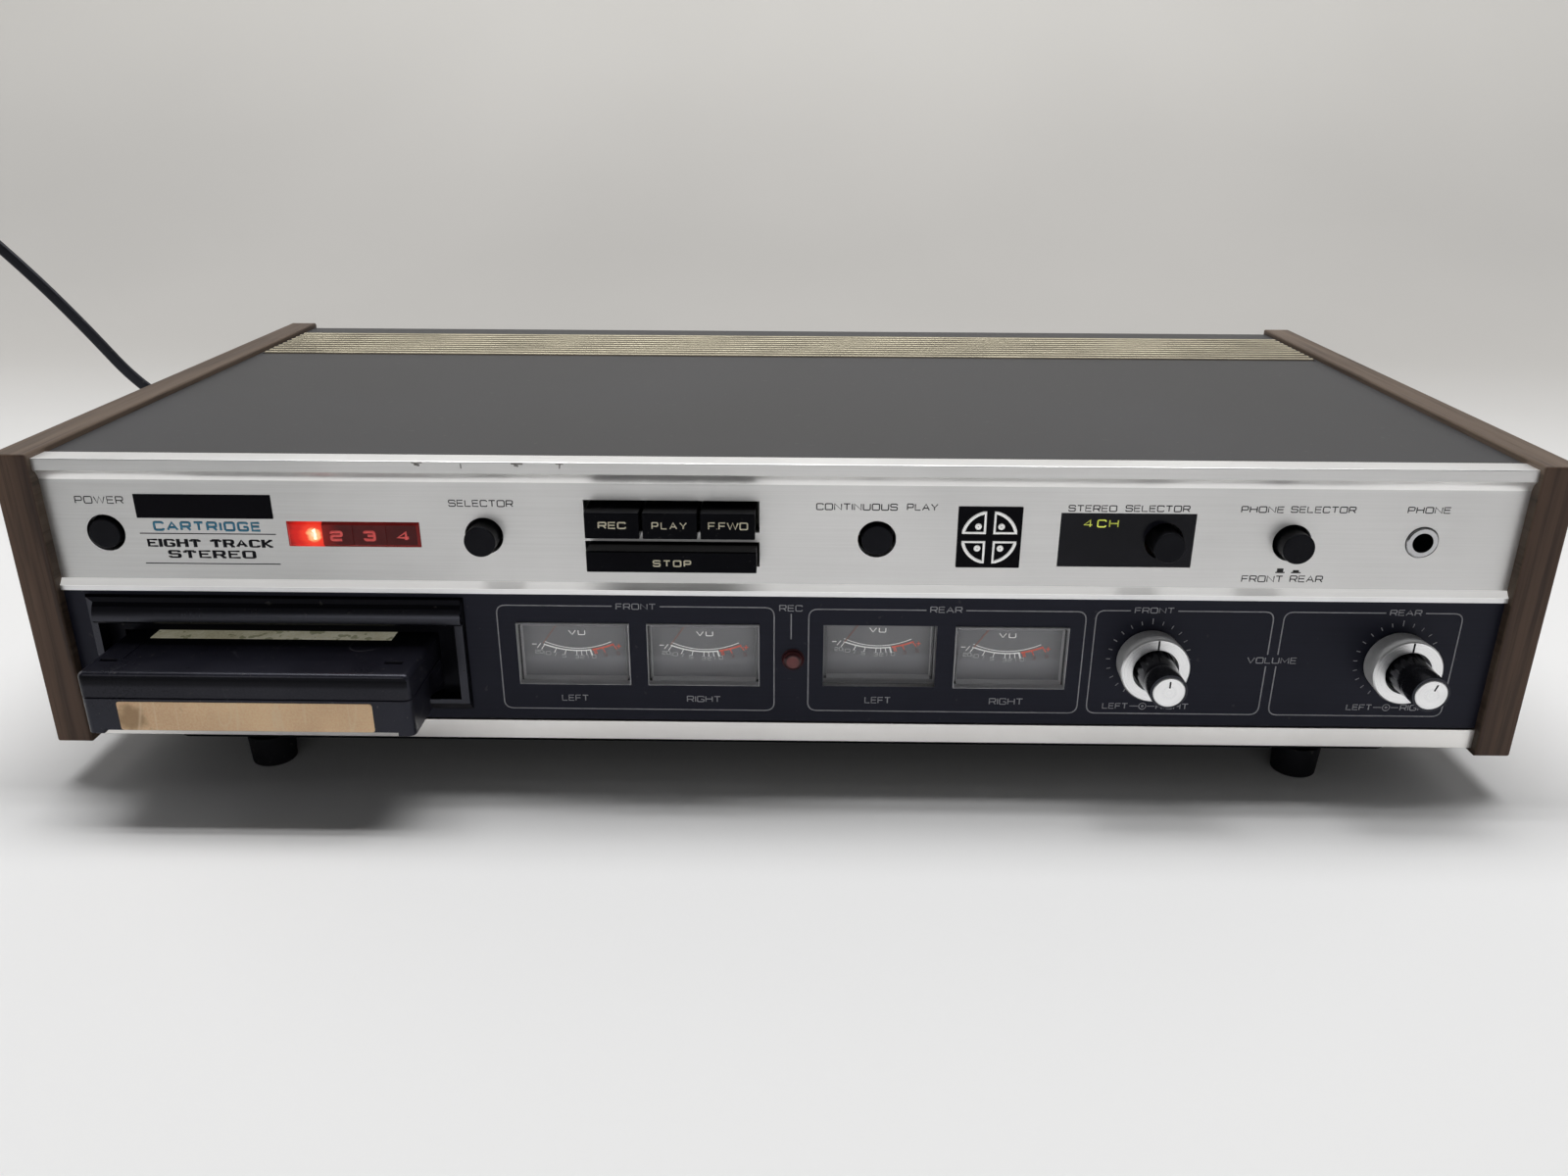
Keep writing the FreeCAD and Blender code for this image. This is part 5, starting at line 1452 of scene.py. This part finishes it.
# two strip lamps just behind the front edge give the shadow its two steps, the roof its soft end
lightLook = {
    "lamps": {
        "stripNear": {"spot": (0.1, 0.06, 2.0), "aim": (0.1, 0.06, 0.0), "size": (1.8, 0.08), "power": 9.0},
        "stripFar": {"spot": (-0.1, 0.19, 2.0), "aim": (-0.1, 0.19, 0.0), "size": (1.8, 0.08), "power": 9.0},
        "roof": {"spot": (0.0, 0.5, 2.0), "aim": (0.0, 0.45, 0.0), "size": (2.2, 0.6), "power": 21.0},
        "wall": {"spot": (0.0, 0.5, 2.2), "aim": (0.0, 1.6, 0.9), "size": (2.6, 0.5), "power": 9.0},
        "left": {"spot": (-1.5, 0.5, 0.7), "aim": (0.0, 0.05, 0.05), "size": (1.2, 0.9), "power": 5.0},
        "right": {"spot": (1.5, 0.5, 0.7), "aim": (0.0, 0.05, 0.05), "size": (1.2, 0.9), "power": 5.0},
        "front": {"spot": (0.1, -2.2, 0.26), "aim": (0.0, 0.0, 0.06), "size": (2.4, 0.44), "power": 6.0},
    },
    "world": 0.05, "seen": 0.5, "air": (1.0, 0.995, 0.985, 1),
}


def makeFloor(look):
    # a floor that bends up into the wall behind it
    bpy.ops.object.select_all(action="DESELECT")
    front, back = look["front"], look["back"]
    bpy.ops.mesh.primitive_plane_add(size=1, location=(0, (front + back) / 2, 0))
    floor = bpy.context.object
    floor.name = "studioSweep"
    floor.scale = (look["width"], back - front, 1)
    bpy.ops.object.transform_apply(location=True, rotation=True, scale=True)
    nearBack = back - 0.01
    chooseEdges(floor, lambda a, b: min(a.y, b.y) > nearBack)
    bpy.ops.mesh.extrude_region_move(TRANSFORM_OT_translate={"value": (0, 0, look["height"])})
    roundEdges(floor, look["bend"], 24, lambda a, b: min(a.y, b.y) > nearBack and max(a.z, b.z) < 0.01)
    bpy.ops.object.shade_smooth()
    floor.data.materials.append(floorFinish(look))


def floorFinish(look):
    material, tree, shader = startMaterial("paleSweep")
    put(shader, "Roughness", look["roughness"])
    put(shader, "Specular IOR Level", look["specular"])
    spot = axesFrom(tree)
    # painted shade and light: pale at the front and darker towards the back along the floor, then a little
    # lighter up the wall
    back = reckon(tree, "MULTIPLY", reckon(tree, "ADD", spot["Y"], 0.3), 0.5, True)
    along = steps(tree, back, [(0.0, look["near"]), (0.1, look["near"]), (0.5, look["far"])])
    up = steps(tree, reckon(tree, "DIVIDE", spot["Z"], 2.0, True), [(0.02, 0.0), (0.2, 1.0)])
    shade = blendColours(tree, up, along, look["high"])
    tone = steps(tree, cloud(tree, spotsOn(tree), 1.2, 3.0, 0.5), [(0.3, 0.46), (0.7, 0.54)])
    put(shader, "Base Color", blendColours(tree, 0.5, shade, tone, "OVERLAY"))
    raiseSurface(tree, shader, cloud(tree, spotsOn(tree), 180.0), 0.05, 0.0002)
    return material


def makeLights(look):
    for name, lamp in look["lamps"].items():
        bpy.ops.object.light_add(type="AREA", location=lamp["spot"])
        light = bpy.context.object
        light.name = name + "Light"
        light.data.shape = "RECTANGLE"
        light.data.size, light.data.size_y = lamp["size"]
        light.data.energy = lamp["power"]
        aim = Vector(lamp["aim"]) - Vector(lamp["spot"])
        light.rotation_euler = aim.to_track_quat("-Z", "Y").to_euler()
    world = bpy.data.worlds.new("studioAir")
    bpy.context.scene.world = world
    world.use_nodes = True
    tree = world.node_tree
    air = tree.nodes["Background"]
    put(air, "Color", look["air"])
    # past the edges of the sweep the camera sees a pale room, which gives no more light
    path = tree.nodes.new("ShaderNodeLightPath")
    seen = reckon(tree, "MULTIPLY", path.outputs["Is Camera Ray"], look["seen"] - look["world"])
    put(air, "Strength", reckon(tree, "ADD", seen, look["world"]))


makeFloor(floorLook)
makeLights(lightLook)
bpy.context.scene.view_settings.view_transform = "Standard"
print("floor and lights ready")
